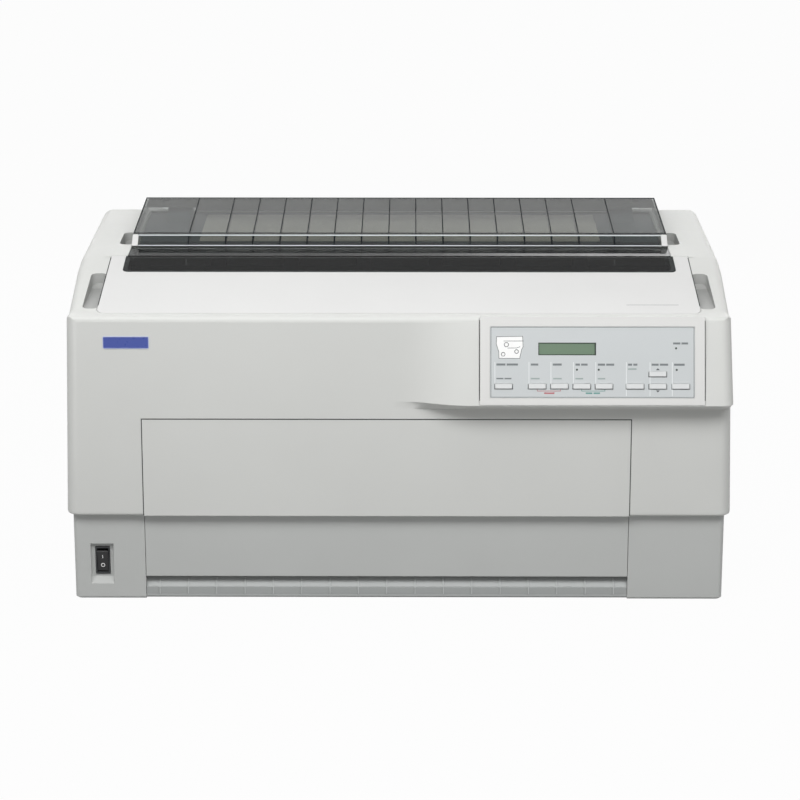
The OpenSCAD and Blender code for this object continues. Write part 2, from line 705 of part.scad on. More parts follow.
module front_cover() color(case_colour) {
    t = cover_t;
    y_low = base_front;
    x0 = -front_cover_left;
    x1 = front_cover_right;
    along_x(x0, x1)
        polygon([[y_low, front_cover_low], [y_low, split_h], [front_y(split_h), split_h],
                 [front_y(front_cover_top), front_cover_top], [front_y(front_cover_top) + t, front_cover_top],
                 [front_y(split_h) + t, split_h + t], [y_low + t, split_h + t], [y_low + t, front_cover_low]]);
    // inner ribs
    for (x = [x0 + 20 : 60 : x1 - 10])
        along_x(x, x + 2)
            polygon([[y_low + 1, front_cover_low + 10], [y_low + t + 2, front_cover_low + 16],
                     [y_low + t + 2, split_h + 2], [front_y(split_h) + t + 3, split_h + 8],
                     [front_y(front_cover_top) + t + 2, front_cover_top - 4],
                     [front_y(front_cover_top) + 1, front_cover_top - 4],
                     [front_y(split_h) + 1, split_h + 6], [y_low + 1, split_h - 4]]);
    for (s = [0, 1])
        bar_x(s > 0 ? x1 - 1 : x0 - 4, s > 0 ? x1 + 4 : x0 + 1, front_hinge[0], front_hinge[1], hinge_r);
}
module rear_cover() color(case_colour) {
    x = rear_cover_x;
    difference() {
        union() {
            block([-x, rear_reach - cover_t, rear_cover_low], [x, rear_reach, rear_cover_top]);
            for (px = [-x + 20 : 58 : x - 10])
                block([px, rear_reach - cover_t - 4, rear_cover_low + 12],
                      [px + 2, rear_reach - 1, rear_cover_top - 5]);
        }
        // finger pull
        along_x(-40, 40)
            polygon([[rear_reach - 1.8, rear_cover_top - 8], [rear_reach + 1, rear_cover_top - 8],
                     [rear_reach + 1, rear_cover_top - 22]]);
    }
    side_pins(x, rear_hinge);
}

// ---- power switch, inlet and ports ----------------------------------------------------------

inlet_w = 30;
inlet_h = 24;
port_w = 64;
port_h = 16;
switch_depth = 18;
rocker_pivot = [switch_at[0], base_front + 8.5, switch_at[2]];
module power_switch_body() color(dark_colour) {
    low = [switch_at[0] - switch_w / 2, base_front + 3, switch_at[2] - switch_h / 2];
    high = [switch_at[0] + switch_w / 2, base_front + 3 + switch_depth, switch_at[2] + switch_h / 2];
    difference() {
        block(low, high);
        block(low + [1.5, -1, 2], high - [1.5, 6, 2]);
    }
    // trunnions for the rocker
    for (x = [low[0] + 1, high[0] - 2.5])
        bar_x(x, x + 1.5, rocker_pivot[1], rocker_pivot[2], 1.5);
}
rocker_tilt = 9;
module power_rocker() color([0.08, 0.08, 0.09]) {
    w = switch_w - 3.6;
    h = switch_h - 6;
    difference() {
        translate(rocker_pivot)
            rotate([rocker_tilt, 0, 0])
                rotate([90, 0, 90])
                    translate([0, 0, -w / 2])
                        linear_extrude(w)
                            polygon([[-6.5, -h / 2 + 1], [-5, 0], [-6.5, h / 2 - 1], [-5, h / 2],
                                     [-1, h / 2 - 1], [2, 4], [4, 2], [4, -2], [2, -4],
                                     [-1, -h / 2 + 1], [-5, -h / 2]]);
        bar_x(rocker_pivot[0] - 20, rocker_pivot[0] + 20, rocker_pivot[1], rocker_pivot[2], 1.5 + fit);
    }
}
module power_inlet() color(dark_colour) {
    at = inlet_at;
    difference() {
        union() {
            block(at - [inlet_w / 2, 19.9, inlet_h / 2], at + [inlet_w / 2, 0.2, inlet_h / 2]);
            block(at - [inlet_w / 2 + 5, -0.2, inlet_h / 2 + 2], at + [inlet_w / 2 + 5, 2, inlet_h / 2 + 2]);
        }
        translate(at + [0, 3, 0])
            rotate([90, 0, 0])
                linear_extrude(17)
                    polygon([[-12, -8], [12, -8], [12, 4], [8, 8], [-8, 8], [-12, 4]]);
    }
    for (x = [-6.5, 0, 6.5])
        block(at + [x - 1, -15, x == 0 ? 0 : -4], at + [x + 1, -6, x == 0 ? 5 : 1]);
}
module interface_ports() color([0.62, 0.63, 0.65]) {
    for (p = [port_a, port_b])
        difference() {
            union() {
                block(p - [port_w / 2, 12, port_h / 2], p + [port_w / 2, 0.2, port_h / 2]);
                block(p - [port_w / 2 + 5, -0.2, port_h / 2 + 2], p + [port_w / 2 + 5, 1.4, port_h / 2 + 2]);
                translate(p + [0, 5, 0])
                    rotate([90, 0, 0])
                        linear_extrude(6)
                            polygon([[-port_w / 2 + 4, -6], [port_w / 2 - 4, -6],
                                     [port_w / 2 - 2, 6], [-port_w / 2 + 2, 6]]);
            }
            translate(p + [0, 6, 0])
                rotate([90, 0, 0])
                    linear_extrude(12)
                        polygon([[-port_w / 2 + 5.5, -4.8], [port_w / 2 - 5.5, -4.8],
                                 [port_w / 2 - 3.6, 4.8], [-port_w / 2 + 3.6, 4.8]]);
        }
    for (p = [port_a, port_b])
        block(p + [-port_w / 2 + 9, -7, -1.5], p + [port_w / 2 - 9, -2, 1.5]);
}

// ---- control panel --------------------------------------------------------------------------

overlay_t = 0.8;
overlay_box = [panel_left + overlay_margin, panel_right - overlay_margin, 7.5, 80.5];
row_v = 19.6;
row_x = [for (d = [24.8, 59.1, 81.9, 104.7, 127.5, 159.3, 182.5, 206.1]) panel_left + d];
upper_v = 32.2;
button_places = concat([for (x = row_x) [x, row_v]], [[row_x[6], upper_v]]);
display_at = [panel_left + 89.2, 58.7];
button_play = 0.3;
board_gap = 9;                     // from the overlay's face down to the circuit board
module button_holes(w0, w1) {
    for (b = button_places)
        plate(b[0] - button_w / 2 - button_play, b[0] + button_w / 2 + button_play,
              b[1] - button_h / 2 - button_play, b[1] + button_h / 2 + button_play, w0, w1, 1);
}
module display_hole(w0, w1, gap) {
    plate(display_at[0] - display_w / 2 - gap, display_at[0] + display_w / 2 + gap,
          display_at[1] - display_h / 2 - gap, display_at[1] + display_h / 2 + gap, w0, w1, 0.6);
}
module control_panel() color(case_colour) {
    on_panel()
        difference() {
            plate(panel_left, panel_right, 0, panel_l, -panel_t, 0, 1.5);
            plate(overlay_box[0] - 0.2, overlay_box[1] + 0.2, overlay_box[2] - 0.2, overlay_box[3] + 0.2,
                  -overlay_t - 0.02, 1, 1.5);
            button_holes(-panel_t - 1, 1);
            display_hole(-panel_t - 1, 1, 0.2);
        }
}
module panel_overlay() color([0.80, 0.81, 0.82]) {
    on_panel()
        difference() {
            plate(overlay_box[0], overlay_box[1], overlay_box[2], overlay_box[3], -overlay_t, 0, 1.5);
            button_holes(-2, 1);
            display_hole(-2, 1, 0.2);
        }
}
module display_window() color([0.53, 0.60, 0.52]) {
    on_panel() {
        display_hole(-5, -0.5, 0);
        display_hole(-board_gap + 0.2, -5, -2);
    }
}
module panel_board() color([0.10, 0.35, 0.20]) {
    on_panel() {
        plate(panel_left + 8, panel_right - 8, 8, panel_l - 8, -board_gap - 1.6, -board_gap, 1);
        for (b = button_places)
            plate(b[0] - 3, b[0] + 3, b[1] - 2, b[1] + 2, -board_gap, -board_gap + 2, 0.5);
        // standoffs to the panel's plate
        for (x = [panel_left + 11, panel_right - 11], v = [11, panel_l - 11])
            translate([x, v, -board_gap])
                cylinder(h = board_gap - panel_t, r = 2, $fn = 24);
    }
}
// A push button: a cap that stands out of the overlay, with a flange behind the panel's plate.
module push_button(n) color([0.86, 0.87, 0.87]) {
    b = button_places[n];
    on_panel() {
        plate(b[0] - button_w / 2, b[0] + button_w / 2, b[1] - button_h / 2, b[1] + button_h / 2,
              -panel_t - 0.5, button_stand, 0.8);
        plate(b[0] - button_w / 2 - 1, b[0] + button_w / 2 + 1,
              b[1] - button_h / 2 - 1, b[1] + button_h / 2 + 1, -panel_t - 1.5, -panel_t - 0.3, 0.8);
        plate(b[0] - 1.5, b[0] + 1.5, b[1] - 1.5, b[1] + 1.5, -board_gap + 3.4, -panel_t - 1, 0.5);
    }
}

// ---- mechanism ------------------------------------------------------------------------------

centre_d = (platen_teeth + pinion_teeth) * gear_m / 2 + 0.2;
gear_x = frame_x + frame_t + 4;
rod_a = [-62, 232];
rod_b = [-30, 216];
belt_y = -90;
belt_z = 238;
belt_h = 6;
pulley_x = frame_x - 30;
head_w = 30;
carriage_w = 64;
eject_axis = [33, 318];
eject_roller_r = 12;
platen_half = frame_x - 26;
tractor_axis_front = [-tractor_y, front_tractor_z];
tractor_axis_rear = [tractor_y, rear_tractor_z];
support_drop = 32;
board_z = floor_z + 8;
board_x = [-130, frame_x - 28];
board_posts = [[board_x[0] + 20, 80, board_x[1] - 20], [-70, 120]];
supply_box = [[-frame_x + 10, -100, floor_z + 0.2], [board_x[0] - 20, 130, 80]];
frame_low = floor_z + 0.2;

module frame_outline() {
    polygon([[-104, frame_low], [-104, 112], [-142, 112], [-142, 172], [-112, 200], [-112, 268],
             [-96, 292], [-44, 316], [20, 327], [60, 327], [140, 240], [140, 140], [128, 112],
             [128, frame_low]]);
}
module side_frames() color(steel_colour) {
    difference() {
        for (x = [-frame_x - frame_t, frame_x])
            along_x(x, x + frame_t)
                frame_outline();
        for (h = [[platen_y, platen_z, platen_shaft_r], [rod_a[0], rod_a[1], rod_r], [rod_b[0], rod_b[1], rod_r],
                  [eject_axis[0], eject_axis[1], 4], [tractor_axis_front[0], tractor_axis_front[1], 6],
                  [tractor_axis_rear[0], tractor_axis_rear[1], 6],
                  [tractor_axis_front[0], tractor_axis_front[1] - support_drop, support_r],
                  [tractor_axis_rear[0], tractor_axis_rear[1] - support_drop, support_r],
                  [platen_y, platen_z - centre_d, 7]])
            bar_x(-400, 400, h[0], h[1], h[2] + fit);
        // lightening hole
        for (y = [-50, 40])
            bar_x(-400, 400, y, 110, 30);
    }
    // folded brackets of the carriage drive
    difference() {
        union() {
            block([-frame_x - 1, belt_y - 20, belt_z - 13.7], [-frame_x + 52, belt_y + 20, belt_z - 11.7]);
            block([frame_x - 52, belt_y - 20, belt_z - 13.7], [frame_x + 1, belt_y + 20, belt_z - 11.7]);
        }
        translate([-pulley_x, belt_y, belt_z - 20])
            cylinder(h = 10, r = 4, $fn = 48);
    }
    translate([pulley_x, belt_y, belt_z - 12])
        cylinder(h = 17, r = 3, $fn = 48);
    // shelves of the ribbon cartridge
    for (x = [-frame_x - 1, frame_x - 11])
        block([x, -110, cartridge_z - 4], [x + 12, -92, cartridge_z - 0.2]);
    // cover plate over the head's parking place, seen through the window
    block([frame_x - 27, -52, 316], [frame_x + 1, -40, 318]);
    // cross plate that ties the frames under the platen
    block([-frame_x - 1, 60, 112], [frame_x + 1, 62, 150]);
}
module guide_rods() color([0.78, 0.79, 0.80]) {
    half = frame_x + frame_t + 2;
    bar_x(-half, half, rod_a[0], rod_a[1], rod_r);
    bar_x(-half, half, rod_b[0], rod_b[1], rod_r);
    for (a = [tractor_axis_front, tractor_axis_rear])
        bar_x(-half, half, a[0], a[1] - support_drop, support_r);
}
module platen() color(dark_colour) {
    bar_x(-platen_half, platen_half, platen_y, platen_z, platen_r);
    bar_x(-frame_x - frame_t - 4, gear_x + gear_w + 2, platen_y, platen_z, platen_shaft_r);
}
module platen_gear() color([0.85, 0.84, 0.78])
    translate([gear_x, platen_y, platen_z])
        rotate([90, 0, 90])
            gear(platen_teeth, gear_w, platen_shaft_r, -90);
module feed_pinion() color([0.75, 0.72, 0.45])
    translate([gear_x, platen_y, platen_z - centre_d])
        rotate([90, 0, 90]) {
            gear(pinion_teeth, gear_w, 2.4, 90 + 180 / pinion_teeth);
            translate([0, 0, -frame_t - 4 - 10])
                cylinder(h = frame_t + 4 + 10 + gear_w, r = 2.5, $fn = 48);
        }
module feed_motor() color([0.30, 0.31, 0.33]) {
    at = [platen_y, platen_z - centre_d];
    side = 18;
    difference() {
        union() {
            along_x(frame_x - 44, frame_x)
                translate(at)
                    rotate(45)
                        circle(side * sqrt(2), $fn = 4);
            bar_x(frame_x - 1, frame_x + frame_t + 1, at[0], at[1], 7);
        }
        bar_x(frame_x - 13, frame_x + 10, at[0], at[1], 2.5 + fit);
    }
}
module carriage() color(dark_colour) {
    w = carriage_w / 2;
    difference() {
        union() {
            along_x(-w, w)
                union() {
                    translate(rod_a)
                        circle(11, $fn = 64);
                    translate(rod_b)
                        circle(11, $fn = 64);
                    polygon([[-72, 228], [-72, 243], [-24, 243], [-18, 216], [-42, 208]]);
                }
            // clamp on the belt
            block([-12, belt_y + pulley_r - 5, belt_z - 6], [12, -70, belt_z + belt_h + 6]);
        }
        for (r = [rod_a, rod_b])
            bar_x(-w - 1, w + 1, r[0], r[1], rod_r + fit);
        block([-13, belt_y + pulley_r - 0.4, belt_z - 0.4], [13, belt_y + pulley_r + 1.6, belt_z + belt_h + 0.4]);
    }
}
head_tip = platen_y - platen_r - 1.5;
module print_head() color(steel_colour) {
    difference() {
        union() {
            block([-head_w, -66, 243], [head_w, -44, 280]);
            along_x(-12, 12)
                polygon([[-46, 246], [head_tip, 256], [head_tip, 268], [-46, 278]]);
        }
        // cooling fins
        for (x = [-head_w + 4 : 6 : head_w - 4])
            block([x - 1.4, -67, 250], [x + 1.4, -50, 281]);
    }
}
module carriage_belt() color([0.12, 0.12, 0.13])
    translate([0, belt_y, belt_z])
        linear_extrude(belt_h)
            difference() {
                belt_loop(pulley_r + 1.2);
                belt_loop(pulley_r + 0.05);
            }
module belt_loop(r) {
    square([2 * pulley_x, 2 * r], center = true);
    for (s = [-1, 1])
        translate([s * pulley_x, 0])
            circle(r, $fn = 64);
}
module pulley(x, bore) {
    translate([x, belt_y, belt_z])
        rotate_extrude($fn = 64)
            polygon([[bore, -3], [pulley_r + 2, -3], [pulley_r + 2, -0.6], [pulley_r, -0.6],
                     [pulley_r, belt_h + 0.6], [pulley_r + 2, belt_h + 0.6], [pulley_r + 2, belt_h + 2],
                     [bore, belt_h + 2]]);
}
module drive_pulley() color(steel_colour) {
    pulley(-pulley_x, 2.4);
    translate([-pulley_x, belt_y, belt_z - 22])
        cylinder(h = 26, r = 2.5, $fn = 48);
}
module idler_pulley() color(steel_colour)
    pulley(pulley_x, 3 + fit);
module carriage_motor() color([0.30, 0.31, 0.33]) {
    difference() {
        block([-pulley_x - 18, belt_y - 18, belt_z - 48], [-pulley_x + 18, belt_y + 18, belt_z - 13.7]);
        translate([-pulley_x, belt_y, belt_z - 23])
            cylinder(h = 12, r = 2.5 + fit, $fn = 48);
    }
}
cartridge_z = 262;
module ribbon_cartridge() color([0.20, 0.20, 0.21]) {
    difference() {
        block([-frame_x + 4, -138, cartridge_z], [frame_x - 4, -92, cartridge_z + 22]);
        for (k = [-5:5])
            let (x = k * (frame_x - 22) / 6)
                block([x - 18, -132, cartridge_z + 20.5], [x + 18, -98, cartridge_z + 23]);
        // mouths that the ribbon runs through
        for (x = [-ribbon_x, ribbon_x])
            block([x - 1.2, -112, cartridge_z - 5], [x + 1.2, -90, cartridge_z + 15]);
    }
    for (s = [-1, 1])
        along_x(s > 0 ? ribbon_x + 1 : -ribbon_x - 9, s > 0 ? ribbon_x + 9 : -ribbon_x - 1)
            polygon([[-93, cartridge_z], [-93, cartridge_z + 20], [-30, 270], [head_tip, 270], [head_tip, 256],
                     [-30, 254]]);
}
ribbon_x = frame_x - 50;
ribbon_low = 256;
module ribbon() color([0.06, 0.06, 0.07]) {
    y = head_tip + 0.7;
    block([-ribbon_x - 0.3, y, ribbon_low], [ribbon_x + 0.3, y + 0.3, ribbon_low + 13]);
    for (x = [-ribbon_x - 0.3, ribbon_x])
        block([x, -111, ribbon_low + 7], [x + 0.3, y + 0.1, ribbon_low + 13]);
}
module eject_rollers() color([0.30, 0.30, 0.31]) {
    bar_x(-frame_x - frame_t - 3, frame_x + frame_t + 3, eject_axis[0], eject_axis[1], 4);
    for (x = [-200 : 80 : 200])
        bar_x(x - 8, x + 8, eject_axis[0], eject_axis[1], eject_roller_r);
}

// ---- tractors -------------------------------------------------------------------------------

// A tractor drawn for the front, on its drive axis at the local origin, its lid hinged at +X.
tractor_w = 20;
sprocket_r = 11;
pin_out = 14.2;
lid_hinge = [13.5, -18];
module tractor_frame() {
    difference() {
        along_x(-tractor_w / 2, tractor_w / 2)
            polygon([[-13, -44], [17, -44], [17, 12], [8, 19], [-6, 19], [-13, 14]]);
        block([-7, -20, -18], [7, pin_out + 0.6, 20]);
        block([-4, -20, -40], [4, -9, -17]);
        bar_x(-20, 20, 0, 0, 8);
        bar_x(-20, 20, 0, -support_drop, support_r + fit);
    }
    // ears of the lid's hinge
    for (z = [-36, 6])
        difference() {
            translate([0, 0, z])
                linear_extrude(5) {
                    translate(lid_hinge)
                        circle(3, $fn = 32);
                    polygon([[tractor_w / 2 - 3, -13.5], [tractor_w / 2 - 3, -8], [tractor_w / 2 + 2, -8],
                             [lid_hinge[0] + 3, lid_hinge[1]], [lid_hinge[0] - 3, lid_hinge[1]]]);
                }
            translate([lid_hinge[0], lid_hinge[1], z - 1])
                cylinder(h = 7, r = 1.5 + fit, $fn = 32);
        }
}
module tractor_lid() {
    difference() {
        block([-tractor_w / 2 + 1, lid_hinge[1] - 1.5, -42], [lid_hinge[0], lid_hinge[1] + 1.5, 15]);
        for (z = [-36, 6])
            translate([lid_hinge[0], lid_hinge[1], z - 0.5])
                cylinder(h = 6, r = 5, $fn = 32);
        block([-2.5, lid_hinge[1] - 3, -30], [2.5, lid_hinge[1] + 3, 12]);
    }
    translate([lid_hinge[0], lid_hinge[1], -40])
        cylinder(h = 54, r = 1.5, $fn = 32);
}
module tractor_sprocket() {
    difference() {
        union() {
            bar_x(-5, 5, 0, 0, sprocket_r);
            bar_x(-tractor_w / 2, tractor_w / 2, 0, 0, 8 - 0.1);
            for (i = [0:7])
                rotate([i * 45, 0, 0])
                    translate([0, 0, sprocket_r - 1])
                        cylinder(h = pin_out - sprocket_r + 1, r = 1.2, $fn = 24);
        }
        block([-20, -square_shaft / 2 - 0.15, -square_shaft / 2 - 0.15],
              [20, square_shaft / 2 + 0.15, square_shaft / 2 + 0.15]);
    }
}
module tractor_place(front, left) {
    axis = front ? tractor_axis_front : tractor_axis_rear;
    translate([left ? -tractor_x : tractor_x, axis[0], axis[1]])
        mirror([left ? 1 : 0, 0, 0])
            mirror([0, front ? 0 : 1, 0])
                children();
}
module tractor_shaft(axis) {
    half = frame_x + frame_t + 3;
    block([-half + 8, axis[0] - square_shaft / 2, axis[1] - square_shaft / 2],
          [half - 8, axis[0] + square_shaft / 2, axis[1] + square_shaft / 2]);
    for (s = [-1, 1])
        bar_x(s > 0 ? frame_x - 3 : -frame_x - frame_t - 3, s > 0 ? gear_x + gear_w : -frame_x + 3,
              axis[0], axis[1], 6);
    translate([gear_x, axis[0], axis[1]])
        rotate([90, 0, 90])
            gear(20, gear_w, 5.9, 0);
}
module front_tractor_shaft() color(steel_colour) tractor_shaft(tractor_axis_front);
module rear_tractor_shaft() color(steel_colour) tractor_shaft(tractor_axis_rear);
module front_left_tractor() color([0.35, 0.36, 0.38]) tractor_place(true, true) tractor_frame();
module front_left_lid() color([0.30, 0.42, 0.55]) tractor_place(true, true) tractor_lid();
module front_left_sprocket() color([0.85, 0.84, 0.78]) tractor_place(true, true) tractor_sprocket();
module front_right_tractor() color([0.35, 0.36, 0.38]) tractor_place(true, false) tractor_frame();
module front_right_lid() color([0.30, 0.42, 0.55]) tractor_place(true, false) tractor_lid();
module front_right_sprocket() color([0.85, 0.84, 0.78]) tractor_place(true, false) tractor_sprocket();
module rear_left_tractor() color([0.35, 0.36, 0.38]) tractor_place(false, true) tractor_frame();
module rear_left_lid() color([0.30, 0.42, 0.55]) tractor_place(false, true) tractor_lid();
module rear_left_sprocket() color([0.85, 0.84, 0.78]) tractor_place(false, true) tractor_sprocket();
module rear_right_tractor() color([0.35, 0.36, 0.38]) tractor_place(false, false) tractor_frame();
module rear_right_lid() color([0.30, 0.42, 0.55]) tractor_place(false, false) tractor_lid();
module rear_right_sprocket() color([0.85, 0.84, 0.78]) tractor_place(false, false) tractor_sprocket();

// ---- electronics and fan --------------------------------------------------------------------

module circuit_board() color([0.10, 0.35, 0.20]) {
    block([board_x[0], -90, board_z], [board_x[1], 140, board_z + 1.6]);
    for (x = [-90 : 70 : 200], y = [-40, 40])
        block([x, y, board_z + 1], [x + 30, y + 24, board_z + 5]);
    block([-100, 118, board_z + 1], [20, 132, board_z + 12]);
}
module power_supply() color([0.66, 0.67, 0.68]) {
    difference() {
        block(supply_box[0], supply_box[1]);
        block(supply_box[0] + [1.5, 1.5, 1.5], supply_box[1] - [1.5, 1.5, 1.5]);
        for (x = [supply_box[0][0] + 12 : 10 : supply_box[1][0] - 12])
            block([x, supply_box[0][1] + 20, supply_box[1][2] - 5],
                  [x + 4, supply_box[1][1] - 20, supply_box[1][2] + 5]);
    }
}
module fan_housing() color(dark_colour) {
    half = fan_side / 2;
    difference() {
        block(fan_at - [fan_t, half, half], fan_at + [10, half, half]);
        bar_x(fan_at[0] - 20, fan_at[0] + 20, fan_at[1], fan_at[2], half - 2);
    }
    // spider that carries the rotor's pin
    for (a = [45, 135])
        translate([fan_at[0] + 8, fan_at[1], fan_at[2]])
            rotate([a, 0, 0])
                translate([0, -2, -half + 1])
                    cube([2, 4, fan_side - 2]);
    bar_x(fan_at[0] - 8, fan_at[0] + 9, fan_at[1], fan_at[2], 2);
}
module fan_rotor() color([0.22, 0.22, 0.23]) {
    difference() {
        union() {
            bar_x(fan_at[0] - 8, fan_at[0] + 7, fan_at[1], fan_at[2], 11);
            for (i = [0:6])
                translate(fan_at)
                    rotate([i * 360 / 7, 0, 0])
                        translate([0, 0, 9])
                            rotate([0, 0, 35])
                                translate([-7, -0.8, 0])
                                    cube([13, 1.6, 17.5]);
        }
        bar_x(fan_at[0] - 9, fan_at[0] + 9, fan_at[1], fan_at[2], 2 + fit);
    }
}

module tractor_select_button() push_button(0);
module pitch_button() push_button(1);
module font_button() push_button(2);
module form_feed_button() push_button(3);
module tear_off_button() push_button(4);
module line_feed_button() push_button(5);
module feed_down_button() push_button(6);
module pause_button() push_button(7);
module feed_up_button() push_button(8);

base_case();
front_paper_guide();
rubber_feet();
upper_housing();
control_panel();
panel_overlay();
display_window();
panel_board();
power_switch_body();
power_inlet();
interface_ports();
side_frames();
guide_rods();
eject_deck();
ribbon_cartridge();
ribbon();
carriage_belt();
carriage_motor();
feed_motor();
circuit_board();
power_supply();
fan_housing();
top_cover();
top_cover_window();
eject_cover();
front_cover();
rear_cover();
power_rocker();
tractor_select_button();
pitch_button();
font_button();
form_feed_button();
tear_off_button();
line_feed_button();
feed_up_button();
feed_down_button();
pause_button();
platen();
platen_gear();
feed_pinion();
carriage();
print_head();
drive_pulley();
idler_pulley();
eject_rollers();
front_tractor_shaft();
rear_tractor_shaft();
front_left_tractor();
front_left_lid();
front_left_sprocket();
front_right_tractor();
front_right_lid();
front_right_sprocket();
rear_left_tractor();
rear_left_lid();
rear_left_sprocket();
rear_right_tractor();
rear_right_lid();
rear_right_sprocket();
fan_rotor();
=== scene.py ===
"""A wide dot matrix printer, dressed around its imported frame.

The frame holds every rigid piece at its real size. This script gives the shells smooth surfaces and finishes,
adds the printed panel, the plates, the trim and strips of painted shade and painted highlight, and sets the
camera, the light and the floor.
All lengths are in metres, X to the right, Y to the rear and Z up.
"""

from __future__ import annotations

import json
import logging
import math
from dataclasses import dataclass, field
from enum import Enum
from typing import Callable, Iterable, Sequence

import bmesh
import bpy
from mathutils import Matrix, Vector
from mathutils.bvhtree import BVHTree


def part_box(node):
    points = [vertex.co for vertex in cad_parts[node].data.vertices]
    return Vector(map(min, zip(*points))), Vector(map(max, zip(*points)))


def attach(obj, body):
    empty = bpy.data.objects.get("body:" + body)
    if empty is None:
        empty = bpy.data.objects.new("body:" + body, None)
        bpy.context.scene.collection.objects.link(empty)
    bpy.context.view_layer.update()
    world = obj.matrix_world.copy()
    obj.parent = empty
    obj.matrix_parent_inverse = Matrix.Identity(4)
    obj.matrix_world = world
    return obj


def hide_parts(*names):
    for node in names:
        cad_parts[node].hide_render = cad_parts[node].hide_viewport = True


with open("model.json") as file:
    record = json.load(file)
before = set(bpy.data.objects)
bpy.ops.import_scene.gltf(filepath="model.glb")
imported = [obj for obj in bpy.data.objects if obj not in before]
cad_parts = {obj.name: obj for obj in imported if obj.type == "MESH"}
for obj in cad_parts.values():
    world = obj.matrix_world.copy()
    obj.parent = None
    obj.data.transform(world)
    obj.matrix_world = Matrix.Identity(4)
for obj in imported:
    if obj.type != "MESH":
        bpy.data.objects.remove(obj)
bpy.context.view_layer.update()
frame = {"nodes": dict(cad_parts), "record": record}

log = logging.getLogger("printer")
SKY = 0.6  # height that rays are cast down from
AHEAD = -0.4  # place in front of the printer that rays are cast back from
PRINT = 0.00006  # how far print stands out of its surface
INLAY = (-0.0001, 0.00005)  # depth and height of a thin line on a surface
NOISE_LOW, NOISE_HIGH = 0.3, 0.7  # the part of a noise's range that counts
Point = tuple[float, float, float]
Pair = tuple[float, float]
Outline = Sequence[Pair]


# ---- colours and finishes ---------------------------------------------------------------------


def linear(rgb: Sequence[float]) -> tuple[float, float, float, float]:
    """Turns an sRGB colour into a linear one.

    Args:
        rgb: Red, green and blue from 0 to 255.

    Returns:
        The same colour as linear RGBA.
    """
    parts = [c / 255 for c in rgb]
    return tuple([c / 12.92 if c <= 0.04045 else ((c + 0.055) / 1.055) ** 2.4 for c in parts] + [1.0])


class Nodes:
    """A short way to build one material's node tree."""

    def __init__(self, name: str) -> None:
        """Starts an empty material with an output and a Principled shader.

        Args:
            name: The material's name.
        """
        self.material = bpy.data.materials.new(name)
        self.material.use_nodes = True
        self.tree = self.material.node_tree
        self.tree.nodes.clear()
        self.output = self.add("ShaderNodeOutputMaterial")
        self.shader = self.add("ShaderNodeBsdfPrincipled")
        self.join(self.shader, "BSDF", self.output, "Surface")
        self.place = self.add("ShaderNodeTexCoord")

    def add(self, kind: str, **values: object) -> bpy.types.Node:
        """Adds a node and sets its properties or its input sockets.

        Args:
            kind: Blender's node type.
            values: Properties or inputs, an underscore standing for a space in an input's name.

        Returns:
            The new node.
        """
        node = self.tree.nodes.new(kind)
        for key, value in values.items():
            if hasattr(node, key):
                setattr(node, key, value)
            else:
                node.inputs[key.replace("_", " ")].default_value = value
        return node

    def join(self, a: bpy.types.Node, out: str | int, b: bpy.types.Node, into: str | int) -> None:
        """Links output `out` of node a to input `into` of node b."""
        self.tree.links.new(a.outputs[out], b.inputs[into])

    def noise(self, size: float, detail: float = 3.0, rough: float = 0.5) -> bpy.types.Node:
        """Adds noise in object space.

        Args:
            size: The size of its features in metres.
            detail: How many finer layers it has.
            rough: How strong the finer layers are.

        Returns:
            The noise node.
        """
        node = self.add("ShaderNodeTexNoise", Scale=1 / size, Detail=detail, Roughness=rough)
        self.join(self.place, "Object", node, "Vector")
        return node

    def spread(self, source: bpy.types.Node, low: float, high: float, into: str) -> None:
        """Maps a noise's factor to a range and links it into one of the shader's inputs.

        Args:
            source: The noise.
            low: The value at its low end.
            high: The value at its high end.
            into: The shader's input.
        """
        ends = {"From_Min": NOISE_LOW, "From_Max": NOISE_HIGH, "To_Min": low, "To_Max": high}
        span = self.add("ShaderNodeMapRange", **ends)
        self.join(source, 0, span, "Value")
        self.join(span, "Result", self.shader, into)

    def colour(self, source: bpy.types.Node, dark: Sequence[float], light: Sequence[float]) -> bpy.types.Node:
        """Blends two colours by a noise's factor.

        Args:
            source: The noise.
            dark: The colour at its low end, linear RGBA.
            light: The colour at its high end, linear RGBA.

        Returns:
            The ramp node, already linked to the base colour.
        """
        ramp = self.add("ShaderNodeValToRGB")
        ends = ((NOISE_LOW, dark), (NOISE_HIGH, light))
        for stop, (position, shade) in zip(ramp.color_ramp.elements, ends):
            stop.position, stop.color = position, shade
        self.join(source, 0, ramp, 0)
        self.join(ramp, 0, self.shader, "Base Color")
        return ramp

    def relief(self, source: bpy.types.Node, depth: float, edge: float = 0.0) -> None:
        """Turns a noise into fine bump.

        Args:
            source: The noise.
            depth: How deep the bump is in metres.
            edge: Radius that sharp edges are softened over, or 0 for none.
        """
        bump = self.add("ShaderNodeBump", Strength=1.0, Distance=depth)
        self.join(source, 0, bump, "Height")
        if edge > 0:
            bevel = self.add("ShaderNodeBevel", samples=6, Radius=edge)
            self.join(bevel, 0, bump, "Normal")
        self.join(bump, 0, self.shader, "Normal")


